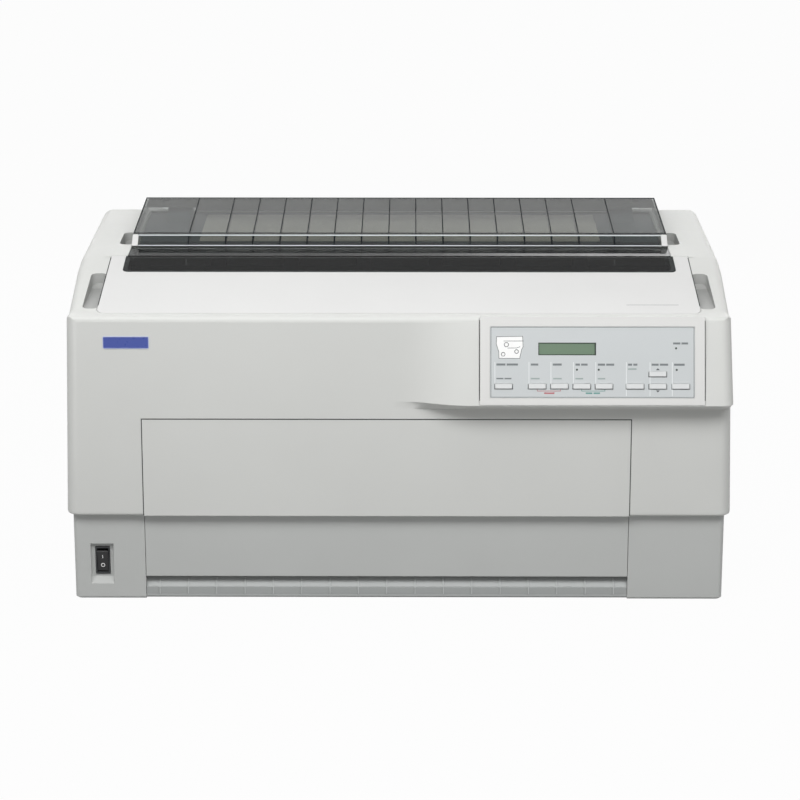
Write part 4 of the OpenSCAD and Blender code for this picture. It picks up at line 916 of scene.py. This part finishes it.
@dataclass
class Eject:
    """The smoked eject cover: its clear shell, dark ribs and edges in tint and painted shade, painted
    highlights on its bends, a lining of painted shade and pale end caps.

    Attributes:
        foot: Where its front wall starts, front to rear.
        brow: Where the front wall meets the top.
        rear: Where the top ends.
        stretch: Length of the front wall and of the top up their slopes, over their depths.
        lip: How much of the front wall's lower part is as dark as the lip in front of it.
        pitch: Distance between its ribs.
        middle: Where the pattern of ribs has its middle.
        ribs: First and last rib, counted from that middle.
        rib_shift: How far the first and the last rib stand off the pattern.
        rib_w: Width of a rib on the top and on the wall.
        rib_d: Depth of a rib on the top and on the wall.
        side: How far inside the cover's end the dark edges of tint and painted shade end, and their width.
        line: Start and end of the dark line of tint and painted shade behind the brow.
        rear_line: Start and end of the dark line of tint and painted shade before the rear edge, measured
            from it.
        line_d: Depth of the dark lines.
        bend: Start and end of the painted highlight on the bend under the brow, measured from it.
        bend_w: Height of the painted highlight on the bend above the lip.
        bend_t: Depth and height of the painted highlights.
        cap_x: Inner and outer face of the end caps.
        cap_foot: How far below the lip's head the end caps start.
        cap_r: Radius of their corners.
        cap_t: Their depth and height.
        back_y: How far the lining of painted shade under the rear of the top reaches forward, between the
            ribs and
        at the ends as a share of that.
        back_in: How far the lining stays from the rear edge, from the outer ribs and from the ends.
        back_t: Lower and upper face of the lining.
    """

    foot: float = 0.018
    brow: float = 0.034
    rear: float = 0.172
    stretch: tuple[float, float] = (1.265, 1.01)
    lip: float = 0.003
    pitch: float = 0.03
    middle: float = 0.003
    ribs: tuple[int, int] = (-7, 8)
    rib_shift: tuple[float, float] = (-0.011, 0.009)
    rib_w: tuple[float, float] = (0.0011, 0.0011 * 1.3)
    rib_d: tuple[float, float] = (-0.0044, -0.0026)
    side: tuple[float, float] = (0.0002, 0.0012)
    line: tuple[float, float] = (0.0022, 0.0052)
    rear_line: tuple[float, float] = (0.0045, 0.0015)
    line_d: float = -0.001
    bend: tuple[float, float] = (0.0034, 0.0018)
    bend_w: float = 0.0012
    bend_t: tuple[float, float] = (-0.0003, 0.00012)
    cap_x: tuple[float, float] = (0.2885, 0.2949)
    cap_foot: float = 0.0014
    cap_r: float = 0.0012
    cap_t: tuple[float, float] = (-0.0002, 0.0006)
    back_y: tuple[float, float] = (0.047, 0.75)
    back_in: tuple[float, float, float] = (0.0019, 0.001, 0.003)
    back_t: tuple[float, float] = (-0.0036, -0.0031)

    def build(self) -> list[bpy.types.Object]:
        """Builds the eject cover.

        Returns:
            Its pieces.
        """
        shell = Shell("eject_cover", Others.SMOKE, 24, 0.0, Others.PANE, self.on_lip).build()
        wall, top = self.plane(self.foot, self.brow), self.plane(self.brow, self.rear)
        # dark parts: tint and painted shade; bright parts: painted highlights; back: a lining of painted
        # shade
        dark, bright, back = self.dark_parts(wall, top), self.glint_strips(wall), self.back(top)
        return [shell, dark, bright, back, *self.end_caps(wall)]

    def on_lip(self, face: bpy.types.MeshPolygon) -> bool:
        """Tells whether a face belongs to the lip in front of the wall."""
        return face.center.y < self.foot + 0.0005

    def plane(self, y0: float, y1: float) -> Matrix:
        """Gives the plane of the wall or the top, just inside its ends, beside the middle rib."""
        return plane_above("eject_cover", 0.005, (y0 + 0.001, y1 - 0.001))

    @property
    def half(self) -> float:
        """Half of the cover's width."""
        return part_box("eject_cover")[1].x

    @property
    def rise(self) -> float:
        """Length of the front wall up its slope."""
        return (self.brow - self.foot) * self.stretch[0]

    @property
    def depth(self) -> float:
        """Length of the top along its slope."""
        return (self.rear - self.brow) * self.stretch[1]

    def rib_places(self) -> list[float]:
        """Finds the ribs.

        Returns:
            Their middles, left to right.
        """
        first, last = self.ribs
        shift = dict(zip(self.ribs, self.rib_shift))
        return [self.middle + (k - 0.5) * self.pitch + shift.get(k, 0.0) for k in range(first, last + 1)]

    def strip(
        self,
        work: bmesh.types.BMesh,
        x: Sequence[float],
        run: tuple[float, float],
        thick: tuple[float, float],
        at: Matrix,
    ) -> None:
        """Adds a straight strip.

        Args:
            work: The mesh in progress.
            x: Its left and right end.
            run: Where it starts and ends up the slope.
            thick: Its lower and upper face.
            at: The plane that it lies on.
        """
        shift = at.translation.x
        slab(work, rect(x[0] - shift, x[1] - shift, *run), *thick, at)

    def dark_parts(self, wall: Matrix, top: Matrix) -> bpy.types.Object:
        """Makes what looks dark through the smoke: the ribs, the line behind the brow and the outer edges, as
        dark strips that are partly the smoked tint of thicker plastic and partly painted shade.

        Args:
            wall: The front wall's plane.
            top: The top's plane.

        Returns:
            The dark parts.
        """
        work = bmesh.new()
        inner = (self.line[1], self.depth - self.rear_line[0])
        on_wall = (self.lip, self.rise - self.bend[0])
        w, w_wall = self.rib_w[0] / 2, self.rib_w[1] / 2
        for x in self.rib_places():
            self.strip(work, (x - w, x + w), inner, (self.rib_d[0], PRINT), top)
            self.strip(work, (x - w_wall, x + w_wall), on_wall, (self.rib_d[1], PRINT), wall)
        x, flat = self.half - self.side[0], (self.line_d, PRINT)
        self.strip(work, (-x, x), self.line, flat, top)
        self.strip(work, (-x, x), (inner[1], self.depth - self.rear_line[1]), flat, top)
        for side in (-1, 1):
            self.strip(work, sorted((side * x, side * (x - self.side[1]))), inner, flat, top)
        return made(work, "eject_tint_and_painted_shade", Others.SHADE, "eject_cover")

    def glint_strips(self, wall: Matrix) -> bpy.types.Object:
        """Makes the painted highlights on the bends above and below the front wall, pale strips where these
        catch the light.

        Args:
            wall: The front wall's plane.

        Returns:
            The painted highlights.
        """
        work, x = bmesh.new(), self.cap_x[0]
        for run in ((self.rise - self.bend[0], self.rise - self.bend[1]), (self.lip - self.bend_w, self.lip)):
            self.strip(work, (-x, x), run, self.bend_t, wall)
        return made(work, "eject_painted_glints", Others.PAINTED_GLINT, "eject_cover")

    def back(self, top: Matrix) -> bpy.types.Object:
        """Makes the lining of painted shade under the rear of the top: a dark sheet where only shade shows
        through the smoke.

        Args:
            top: The top's plane.

        Returns:
            The lining.
        """
        work, places = bmesh.new(), self.rib_places()
        from_rear, from_rib, from_end = self.back_in
        end, reach_, share = self.depth - from_rear, *self.back_y
        self.strip(work, (places[0], places[-1]), (self.depth - reach_, end), self.back_t, top)
        for side, x in ((-1, places[0]), (1, places[-1])):
            ends = sorted((x + side * from_rib, side * (self.half - from_end)))
            self.strip(work, ends, (self.depth - reach_ * share, end), self.back_t, top)
        return made(work, "eject_painted_shade_lining", Others.PAINTED_SHADE_AND_HIGHLIGHT, "eject_cover")

    def end_caps(self, wall: Matrix) -> list[bpy.types.Object]:
        """Makes the pale caps at the ends of the front wall.

        Args:
            wall: The front wall's plane.

        Returns:
            The two caps.
        """
        caps, shift = [], wall.translation.x
        for side, name in ((-1, "left"), (1, "right")):
            x0, x1 = sorted((side * self.cap_x[0], side * self.cap_x[1]))
            foot, head = self.lip - self.cap_foot, self.rise - self.bend[1]
            work = bmesh.new()
            slab(work, rounded(x0 - shift, x1 - shift, foot, head, self.cap_r), *self.cap_t, wall)
            caps.append(made(work, f"eject_cap_{name}", Plastics.COVER, "eject_cover"))
        return caps


# ---- the control panel ------------------------------------------------------------------------


@dataclass(frozen=True)
class Words:
    """A row of printed words, each shown as a plain bar.

    Attributes:
        ink: Their ink.
        v: Height of their middle up the panel, in millimetres.
        high: Their height in millimetres.
        spans: Left and right end of each, in millimetres.
    """

    ink: Ink
    v: float
    high: float
    spans: tuple[tuple[float, float], ...]


@dataclass
class Panel:
    """The control panel: bezel, printed overlay, display, lamps and buttons.

    Attributes:
        tilt: Its lean from upright, in radians.
        thick: Thickness of the bezel's plate.
        ink: Thickness that the print is given.
        frame_gap: How far inside the overlay's edge its printed frame runs.
        frame_w: Width of that frame.
        overlay_v: Foot and head of the overlay, in millimetres.
        buttons: The nine buttons.
        words: The printed legends.
        rules: Places of the pale rules between columns, in millimetres, and how far down each runs.
        rule_top: Where those rules start.
        rule_w: Half their width.
        glass: The part of the display that its printed mask leaves free, in millimetres.
        mask: How far the mask reaches beside, below and above it.
        shade_w: Width of the dark edges inside the glass, and of the one at the right.
        arrows: The arrows above and below the feed buttons, in millimetres.
        brackets: The brackets that join pairs of buttons: their ink, left and right end.
        bracket_v: Foot and head of the brackets.
        lamps: Places of the signal lamps.
        mark: Middle of the sheet sign, in millimetres.
        mark_body: Outline of the printer in that sign, from its middle.
        mark_lines: The lines inside it.
        mark_rolls: Middle and radius of its rollers.
        stroke_w: Width of a thin and of a broad line, in millimetres.
        slot: Where the painted shade at the sides of a button's slot lies: how far inside the button's box,
            how far above
        its foot it starts and how high it is, in millimetres.
        seam: Width and depth of the painted shade in the seams beside the bezel.
        seam_in: How far their ends stay from the bezel's foot and head.
    """

    tilt: float = math.radians(14.6)
    thick: float = 0.003
    ink: float = PRINT
    frame_gap: float = 0.0008
    frame_w: float = 0.0005
    overlay_v: tuple[float, float] = (7.5, 80.5)
    buttons: tuple[str, ...] = (
        "tractor_select_button",
        "pitch_button",
        "font_button",
        "form_feed_button",
        "tear_off_button",
        "line_feed_button",
        "feed_down_button",
        "pause_button",
        "feed_up_button",
    )
    words: tuple[Words, ...] = (
        Words(Ink.LEGEND, 41.7, 2.1, ((100.4, 109.6), (110.9, 122.4), (135.6, 143.2), (158.1, 167.2))),
        Words(Ink.LEGEND, 41.7, 2.1, ((181.3, 185.9), (187.1, 193.7), (204.2, 211.6), (212.8, 220.9))),
        Words(Ink.LEGEND, 41.7, 2.1, ((235.1, 239.3), (240.5, 244.7), (259.2, 266.4), (267.6, 276.1))),
        Words(Ink.LEGEND, 41.7, 2.1, ((282.2, 293.0),)),
        Words(Ink.FAINT, 37.2, 1.5, ((235.1, 243.8),)),
        Words(Ink.LEGEND, 27.3, 1.4, ((100.4, 107.6), (108.6, 115.7))),
        Words(Ink.FAINT, 27.3, 1.4, ((135.6, 144.6), (158.5, 167.2), (181.3, 189.2), (204.2, 211.7))),
        Words(Ink.LEGEND, 63.5, 2.0, ((281.2, 288.6), (289.8, 296.5))),
        Words(Ink.RED, 12.4, 1.6, ((149.2, 159.8),)),
        Words(Ink.GREEN, 12.4, 1.6, ((191.8, 198.6), (199.8, 206.4))),
    )
    rules: tuple[tuple[float, float], ...] = (
        *((x, 22) for x in (98.8, 133.7, 156.2, 179.2, 202.1)),
        *((x, 9.5) for x in (233.4, 257.6, 280.4)),
    )
    rule_top: float = 44.3
    rule_w: float = 0.35
    glass: tuple[float, float, float, float] = (143.2, 202.4, 51.3, 64.2)
    mask: tuple[float, float, float] = (0.6, 1, 2)
    shade_w: tuple[float, float] = (0.8, 1.5)
    arrows: tuple[tuple[Pair, ...], ...] = (
        ((265.6 - 1.9, 36.1), (265.6 + 1.9, 36.1), (265.6, 38.1)),
        ((265.6 - 1.9, 15.3), (265.6, 13.3), (265.6 + 1.9, 15.3)),
    )
    brackets: tuple[tuple[Ink, float, float], ...] = ((Ink.RED, 142.2, 165.9), (Ink.GREEN, 187.6, 211.4))
    bracket_v: Pair = (14.6, 16.2)
    lamps: tuple[Pair, ...] = ((0.1828, 0.0365), (0.2051, 0.0365), (0.2849, 0.0364), (0.2842, 0.0585))
    mark: Pair = (114.0, 59.4)
    mark_body: tuple[Pair, ...] = (
        *((-11.1, -11.4), (10.2, -11.4), (12.1, -2.4), (13.6, 0.2)),
        *((13.2, 11.2), (-13.4, 10.8), (-13.8, 3.4), (-11.1, -5)),
    )
    mark_lines: tuple[tuple[Pair, ...], ...] = (((-6, 6.4), (14, 6.4)), ((-2, -0.8), (7, -0.8), (10.5, 0.6)))
    mark_rolls: tuple[Point, ...] = ((-3.5, 2.7, 2.2), (-6.7, -7.2, 1.9), (7.0, -4.4, 1.9))
    stroke_w: Pair = (0.5, 0.6)
    slot: tuple[float, float, float] = (0.42, 1.7, 5.0)
    seam: Pair = (0.0006, 0.0008)
    seam_in: Pair = (0.0055, 0.004)
    print_: dict[Ink, list[Outline]] = field(default_factory=dict)

    def place(self) -> Matrix:
        """Finds the panel's plane.

        Returns:
            The plane: X to the right, Y up the slope, Z out of it.
        """
        low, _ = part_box("control_panel")
        foot = Vector((0, low.y, low.z + self.thick * math.sin(self.tilt)))
        return Matrix.Translation(foot) @ Matrix.Rotation(math.pi / 2 - self.tilt, 4, "X")

    def build(self) -> list[bpy.types.Object]:
        """Builds the panel.

        Returns:
            Its pieces.
        """
        pieces = dress_all(
            [
                Shell("control_panel", Plastics.BEZEL, 24, 0.0006),
                Shell("panel_overlay", Plastics.OVERLAY, 24, 0.0),
                Shell("display_window", Plastics.DISPLAY, 24, 0.0),
            ]
        )
        pieces += dress_all([Shell(name, Plastics.BUTTON, 30, 0.00035) for name in self.buttons])
        paint("panel_board", Plastics.LAMINATE)
        self.draw_legends()
        self.draw_frame()
        self.draw_glass()
        self.draw_slots()
        self.draw_signs()
        pieces += [self.printed(ink, outlines) for ink, outlines in self.print_.items()]
        return pieces + [self.lamp_glass(), self.seams()]

    def draw(self, ink: Ink, outline: Outline) -> None:
        """Adds one printed mark, given in millimetres."""
        self.print_.setdefault(ink, []).append([(x / 1000, v / 1000) for x, v in outline])

    def block(self, ink: Ink, x0: float, x1: float, v0: float, v1: float) -> None:
        """Adds a printed block between two corners."""
        self.draw(ink, [(x0, v0), (x1, v0), (x1, v1), (x0, v1)])

    def stroke(self, ink: Ink, points: Outline, w: float) -> None:
        """Adds a line of one width through the points.

        Args:
            ink: Its ink.
            points: The points, in millimetres.
            w: Its width.
        """
        for (x0, v0), (x1, v1) in zip(points, points[1:]):
            along = Vector((x1 - x0, v1 - v0)).normalized() * (w / 2)
            a, b = along.x, along.y
            left, right = (x0 - a + b, v0 - b - a), (x1 + a + b, v1 + b - a)
            self.draw(ink, [left, right, (x1 + a - b, v1 + b + a), (x0 - a - b, v0 - b + a)])

    def draw_legends(self) -> None:
        """Draws the legends as bars, and the pale rules beside them."""
        for row in self.words:
            for x0, x1 in row.spans:
                self.block(row.ink, x0, x1, row.v - row.high / 2, row.v + row.high / 2)
        for x, foot in self.rules:
            self.block(Ink.PALE, x - self.rule_w, x + self.rule_w, foot, self.rule_top)

    def draw_frame(self) -> None:
        """Draws the thin frame round the overlay's edge."""
        low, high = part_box("panel_overlay")
        gap, w = self.frame_gap * 1000, self.frame_w * 1000
        v0, v1 = self.overlay_v[0] + gap, self.overlay_v[1] - gap
        x0, x1 = low.x * 1000 + gap, high.x * 1000 - gap
        self.stroke(Ink.FRAME, [*rect(x0, x1, v0, v1), (x0, v0)], w)

    def draw_glass(self) -> None:
        """Draws the mask round the display and the dark edges inside it."""
        low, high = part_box("display_window")
        x0, x1, v0, v1 = self.glass
        beside, below, above = self.mask
        w, w_right = self.shade_w
        self.block(Ink.FILM, low.x * 1000 - beside, x0, v0 - below, v1 + above)
        self.block(Ink.FILM, x0, high.x * 1000 + beside, v1, v1 + above)
        self.block(Ink.GLASS_EDGE, x0, x1, v1 - w, v1)
        self.block(Ink.GLASS_EDGE, x0, x0 + w, v0, v1 - w)
        self.block(Ink.GLASS_EDGE, x0 + w, x1, v0, v0 + w)
        self.block(Ink.GLASS_EDGE, x1 - w_right, x1, v0 + w, v1 - w)

    def draw_slots(self) -> None:
        """Draws painted shade along the edges of the slots that the buttons stand in."""
        lean = math.cos(self.tilt)
        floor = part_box("control_panel")[0].z + self.thick * math.sin(self.tilt)
        inset, rise, high = self.slot
        for name in self.buttons:
            low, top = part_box(name)
            x0, x1 = low.x * 1000 + inset, top.x * 1000 - inset
            v0 = (low.z - floor) / lean * 1000 + rise
            self.stroke(Ink.SLOT, [(x0, v0 + high), (x0, v0), (x1, v0), (x1, v0 + high)], self.stroke_w[1])

    def draw_signs(self) -> None:
        """Draws the arrows, the brackets and a plain sign of a printer with its rollers and a sheet."""
        thin, broad = self.stroke_w
        for arrow in self.arrows:
            self.draw(Ink.DARK, arrow)
        foot, head = self.bracket_v
        for ink, left, right in self.brackets:
            self.stroke(ink, [(left, head), (left, foot), (right, foot), (right, head)], broad)
        x, v = self.mark
        body = [(x + a, v + b) for a, b in self.mark_body]
        self.draw(Ink.WHITE, body)
        for line in ([*body, body[0]], *([(x + a, v + b) for a, b in row] for row in self.mark_lines)):
            self.stroke(Ink.DARK, line, thin)
        for a, b, r in self.mark_rolls:
            self.stroke(Ink.DARK, [*disc(x + a, v + b, r, 14), (x + a + r, v + b)], broad)

    def printed(self, ink: Ink, outlines: list[Outline]) -> bpy.types.Object:
        """Turns all marks of one ink into a piece.

        Args:
            ink: The ink.
            outlines: Its marks.

        Returns:
            The piece.
        """
        work, place = bmesh.new(), self.place()
        high = self.ink * (1.5 if ink is Ink.DARK else 1)  # dark marks lie over the white ones
        for outline in outlines:
            slab(work, outline, -0.00002, high, place)
        return made(work, f"print_{ink.name.lower()}", ink.finish(), "printer")

    def seams(self) -> bpy.types.Object:
        """Makes the painted shade in the seams between the bezel and the housing beside it.

        Returns:
            The seams' painted shade.
        """
        low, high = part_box("control_panel")
        place = plane_before("control_panel", low.x + 0.002, (low.z + 0.012, low.z + 0.07))
        work, (w, depth), lean = bmesh.new(), self.seam, math.cos(self.tilt)
        foot = (low.z - place.translation.z) / lean + self.seam_in[0]
        top = (high.z - place.translation.z) / lean - self.seam_in[1]
        for x in (low.x, high.x - w):
            x -= place.translation.x
            slab(work, rect(x, x + w, foot, top), -depth, INLAY[1], place)
        return made(work, "bezel_seams_painted_shade", Others.SEAM_PAINTED_SHADE, "printer")

    def lamp_glass(self) -> bpy.types.Object:
        """Makes the signal lamps as low domes.

        Returns:
            The lamps.
        """
        work, place = bmesh.new(), self.place()
        steps = ((0.0011, 0.0, 0.00025), (0.0009, 0.00025, 0.00045), (0.0005, 0.00045, 0.00055))
        for x, v in self.lamps:
            for r, low, high in steps:
                slab(work, disc(x, v, r, 16), low - 0.00002, high, place)
        return made(work, "signal_lamps", Plastics.LAMP, "printer")


# ---- the switch and the rear connectors -------------------------------------------------------


@dataclass
class Switch:
    """The power switch with its marks, and the connectors at the rear.

    Attributes:
        inset: How far the marks' middles lie from the rocker's ends.
        bar: Half the width and height of the bar.
        circle: Outer and inner radius of the ring.
    """

    inset: float = 0.007
    bar: Pair = (0.0004, 0.002)
    circle: Pair = (0.0022, 0.0015)

    def build(self) -> list[bpy.types.Object]:
        """Builds the switch and the connectors.

        Returns:
            The pieces that aren't the frame's own.
        """
        paint_all({"power_inlet": Plastics.BLACK, "interface_ports": Others.PORT})
        pieces = dress_all(
            [
                Shell("power_switch_body", Plastics.DARK, 30, 0.0004),
                Shell("power_rocker", Plastics.BLACK, 30, 0.0004),
            ]
        )
        return pieces + [self.marks()]

    def marks(self) -> bpy.types.Object:
        """Makes the bar and the ring on the rocker's two faces.

        Returns:
            The marks.
        """
        low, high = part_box("power_rocker")
        x, work = (low.x + high.x) / 2, bmesh.new()
        upper, lower = (
            plane_before("power_rocker", x, (z, z + 0.001)) for z in (high.z - self.inset, low.z + self.inset)
        )
        w, h = self.bar
        slab(work, rect(-w, w, -h, h), *INLAY, upper)
        ring(work, *(disc(0, 0, r, 32) for r in self.circle), *INLAY, lower)
        return made(work, "rocker_marks", Ink.WHITE.finish(), "power_rocker")


# ---- what lies inside -------------------------------------------------------------------------


@dataclass
class Mechanism:
    """The print mechanism: side frames, carriage, platen, belts, motors and ribbon.

    Attributes:
        plate_x: Half width of the pale plate on the eject deck.
        plate_y: Its front and rear edge.
        plate_t: Its thickness.
    """

    plate_x: float = 0.223
    plate_y: tuple[float, float] = (0.05, 0.158)
    plate_t: float = 0.0006

    def build(self) -> list[bpy.types.Object]:
        """Paints the mechanism and dresses the deck.

        Returns:
            The deck and its plate.
        """
        paint_all(
            {
                "side_frames": Others.STEEL,
                "guide_rods": Others.ROD,
                "ribbon_cartridge": Plastics.BLACK,
                "ribbon": Others.RIBBON,
                "carriage_belt": Others.RUBBER,
                "carriage_motor": Others.MOTOR,
                "feed_motor": Others.MOTOR,
                "platen": Others.RUBBER,
                "platen_gear": Plastics.GEAR,
                "feed_pinion": Others.BRASS,
                "carriage": Plastics.DARK,
                "print_head": Others.HEAD,
                "drive_pulley": Others.STEEL,
                "idler_pulley": Others.STEEL,
                "eject_rollers": Others.RUBBER,
                "front_tractor_shaft": Others.ROD,
                "rear_tractor_shaft": Others.ROD,
            }
        )
        return [Shell("eject_deck", Plastics.DECK_SIDE, 24, 0.0004).build(), self.paper_plate()]

    def paper_plate(self) -> bpy.types.Object:
        """Makes the pale plate on the eject deck that the paper slides over.

        Returns:
            The plate.
        """
        y0, y1 = self.plate_y
        place = plane_above("eject_deck", 0, self.plate_y)
        work = bmesh.new()
        outline = rounded(-self.plate_x, self.plate_x, 0, (y1 - y0) * 1.005, 0.002)
        slab(work, outline, INLAY[0], self.plate_t, place)
        return made(work, "deck_plate", Plastics.DECK, "printer")


@dataclass
class Tractors:
    """The four pin tractors.

    Attributes:
        places: The first words of their nodes' names.
    """

    places: tuple[str, ...] = ("front_left", "front_right", "rear_left", "rear_right")

    def build(self) -> list[bpy.types.Object]:
        """Paints the tractors.

        Returns:
            No piece, since the frame's own ones stay.
        """
        for place in self.places:
            paint_all(
                {
                    f"{place}_tractor": Plastics.TRACTOR,
                    f"{place}_lid": Plastics.LID,
                    f"{place}_sprocket": Plastics.GEAR,
                }
            )
        return []


@dataclass
class Electronics:
    """The boards, the power supply and the fan."""

    def build(self) -> list[bpy.types.Object]:
        """Paints the electronics.

        Returns:
            No piece, since the frame's own ones stay.
        """
        paint_all(
            {
                "circuit_board": Plastics.LAMINATE,
                "power_supply": Others.STEEL,
                "fan_housing": Plastics.BLACK,
                "fan_rotor": Plastics.DARK,
            }
        )
        return []


# ---- floor, light and camera ------------------------------------------------------------------


@dataclass(frozen=True)
class Lamp:
    """One soft lamp.

    Attributes:
        name: Its name.
        place: Where it hangs.
        aim: The point that it faces.
        size: Its width and height.
        power: Its power in watts.
    """

    name: str
    place: Point
    aim: Point
    size: tuple[float, float]
    power: float

    def hang(self) -> None:
        """Adds the lamp to the scene."""
        light = bpy.data.lights.new(self.name, "AREA")
        light.shape = "RECTANGLE"
        light.size, light.size_y = self.size
        light.energy = self.power
        lamp = bpy.data.objects.new(self.name, light)
        bpy.context.scene.collection.objects.link(lamp)
        lamp.location = self.place
        away = Vector(self.aim) - Vector(self.place)
        lamp.rotation_euler = away.to_track_quat("-Z", "Y").to_euler()


@dataclass
class Studio:
    """A pale floor, soft light and the camera.

    Attributes:
        floor: Half the floor's width.
        ambient: Strength of the light from all round.
        floor_shade: How pale the floor is where it throws light back.
        glow: The share of white in what a camera sees of the floor.
        lens: The camera's focal length in millimetres.
        eye: The camera's place.
        pitch: How far it looks below the horizon, in degrees.
        yaw: How far it looks to the left, in degrees.
        lamps: The lamps.
    """

    floor: float = 30.0
    ambient: float = 0.27
    floor_shade: float = 0.38
    glow: float = 0.97
    lens: float = 102.24
    eye: Point = (0.014, -2.4471, 0.7875)
    pitch: float = 14.0
    yaw: float = 0.3127
    lamps: tuple[Lamp, ...] = (
        Lamp("lamp_above", (-0.2, 0.3, 2.6), (0, 0.05, 0.3), (2.6, 2.2), 8.0),
        Lamp("lamp_front", (-0.12, -0.9, 1.1), (0, 0, 0.22), (2.6, 0.5), 18.5),
        Lamp("lamp_rear", (0.2, 1.7, 0.75), (0, 0.1, 0.18), (2.6, 0.5), 11.0),
    )

    def build(self) -> None:
        """Sets the floor, the light and the camera."""
        self.lay_floor()
        self.light_world()
        for lamp in self.lamps:
            lamp.hang()
        self.set_camera()

    def lay_floor(self) -> None:
        """Lays the floor, which shows white and keeps a faint shadow."""
        work = bmesh.new()
        corners = rect(-self.floor, self.floor, -self.floor, self.floor)
        work.faces.new([work.verts.new((x, y, 0.0)) for x, y in corners])
        mesh = bpy.data.meshes.new("floor")
        work.to_mesh(mesh)
        work.free()
        piece = bpy.data.objects.new("floor", mesh)
        bpy.context.scene.collection.objects.link(piece)
        mesh.materials.append(self.floor_finish())

    def seen(self, nodes: Nodes) -> bpy.types.Node:
        """Adds a node that is 1 for what the camera, a gloss or a clear pane shows.

        Args:
            nodes: The material's nodes.

        Returns:
            The node.
        """
        path = nodes.add("ShaderNodeLightPath")
        both = nodes.add("ShaderNodeMath", operation="MAXIMUM")
        nodes.join(path, "Is Camera Ray", both, 0)
        nodes.join(path, "Is Glossy Ray", both, 1)
        every = nodes.add("ShaderNodeMath", operation="MAXIMUM")
        nodes.join(both, 0, every, 0)
        nodes.join(path, "Is Transmission Ray", every, 1)
        return every

    def floor_finish(self) -> bpy.types.Material:
        """Makes the floor's material.

        Returns:
            The material.
        """
        nodes = Nodes("floor_pale")
        nodes.shader.inputs["Base Color"].default_value = (*[self.floor_shade] * 3, 1)
        nodes.shader.inputs["Roughness"].default_value = 0.9
        nodes.shader.inputs["Specular IOR Level"].default_value = 0.1
        glow = nodes.add("ShaderNodeEmission", Strength=1.0)
        mix = nodes.add("ShaderNodeMixShader")
        share = nodes.add("ShaderNodeMath", operation="MULTIPLY")
        share.inputs[1].default_value = self.glow
        nodes.join(self.seen(nodes), 0, share, 0)
        nodes.join(share, 0, mix, 0)
        nodes.join(nodes.shader, 0, mix, 1)
        nodes.join(glow, 0, mix, 2)
        nodes.join(mix, 0, nodes.output, "Surface")
        return nodes.material

    def light_world(self) -> None:
        """Sets a pale light from all round behind a white backdrop."""
        world = bpy.data.worlds.new("studio")
        bpy.context.scene.world = world
        world.use_nodes = True
        tree = world.node_tree
        tree.nodes.clear()
        output = tree.nodes.new("ShaderNodeOutputWorld")
        path = tree.nodes.new("ShaderNodeLightPath")
        soft, white = self.backdrop(tree, self.ambient), self.backdrop(tree, 1.0)
        mixed = soft
        for ray in ("Is Camera Ray", "Is Glossy Ray", "Is Transmission Ray"):
            mix = tree.nodes.new("ShaderNodeMixShader")
            tree.links.new(path.outputs[ray], mix.inputs[0])
            tree.links.new(mixed.outputs[0], mix.inputs[1])
            tree.links.new(white.outputs[0], mix.inputs[2])
            mixed = mix
        tree.links.new(mixed.outputs[0], output.inputs["Surface"])

    def backdrop(self, tree: bpy.types.NodeTree, strength: float) -> bpy.types.Node:
        """Adds an even white background.

        Args:
            tree: The world's node tree.
            strength: How strong it is.

        Returns:
            The background's node.
        """
        node = tree.nodes.new("ShaderNodeBackground")
        node.inputs["Color"].default_value = (1, 1, 1, 1)
        node.inputs["Strength"].default_value = strength
        return node

    def set_camera(self) -> None:
        """Sets the camera at the photograph's angle."""
        data = bpy.data.cameras.new("camera")
        data.lens = self.lens
        data.sensor_width = 36.0
        camera = bpy.data.objects.new("camera", data)
        bpy.context.scene.collection.objects.link(camera)
        camera.location = self.eye
        camera.rotation_euler = (math.radians(90 - self.pitch), 0, math.radians(self.yaw))
        bpy.context.scene.camera = camera


def main() -> None:
    """Builds the printer's looks in order and reports each piece."""
    logging.basicConfig(level=logging.INFO, format="%(message)s")
    bpy.context.scene.view_settings.view_transform = "Standard"
    for part in (Case(), Covers(), Eject(), Panel(), Switch(), Mechanism(), Tractors(), Electronics()):
        for piece in part.build():
            log.info("%s: %s", type(part).__name__, piece.name)
    Studio().build()
    bpy.context.view_layer.update()


if __name__ == "__main__":
    main()
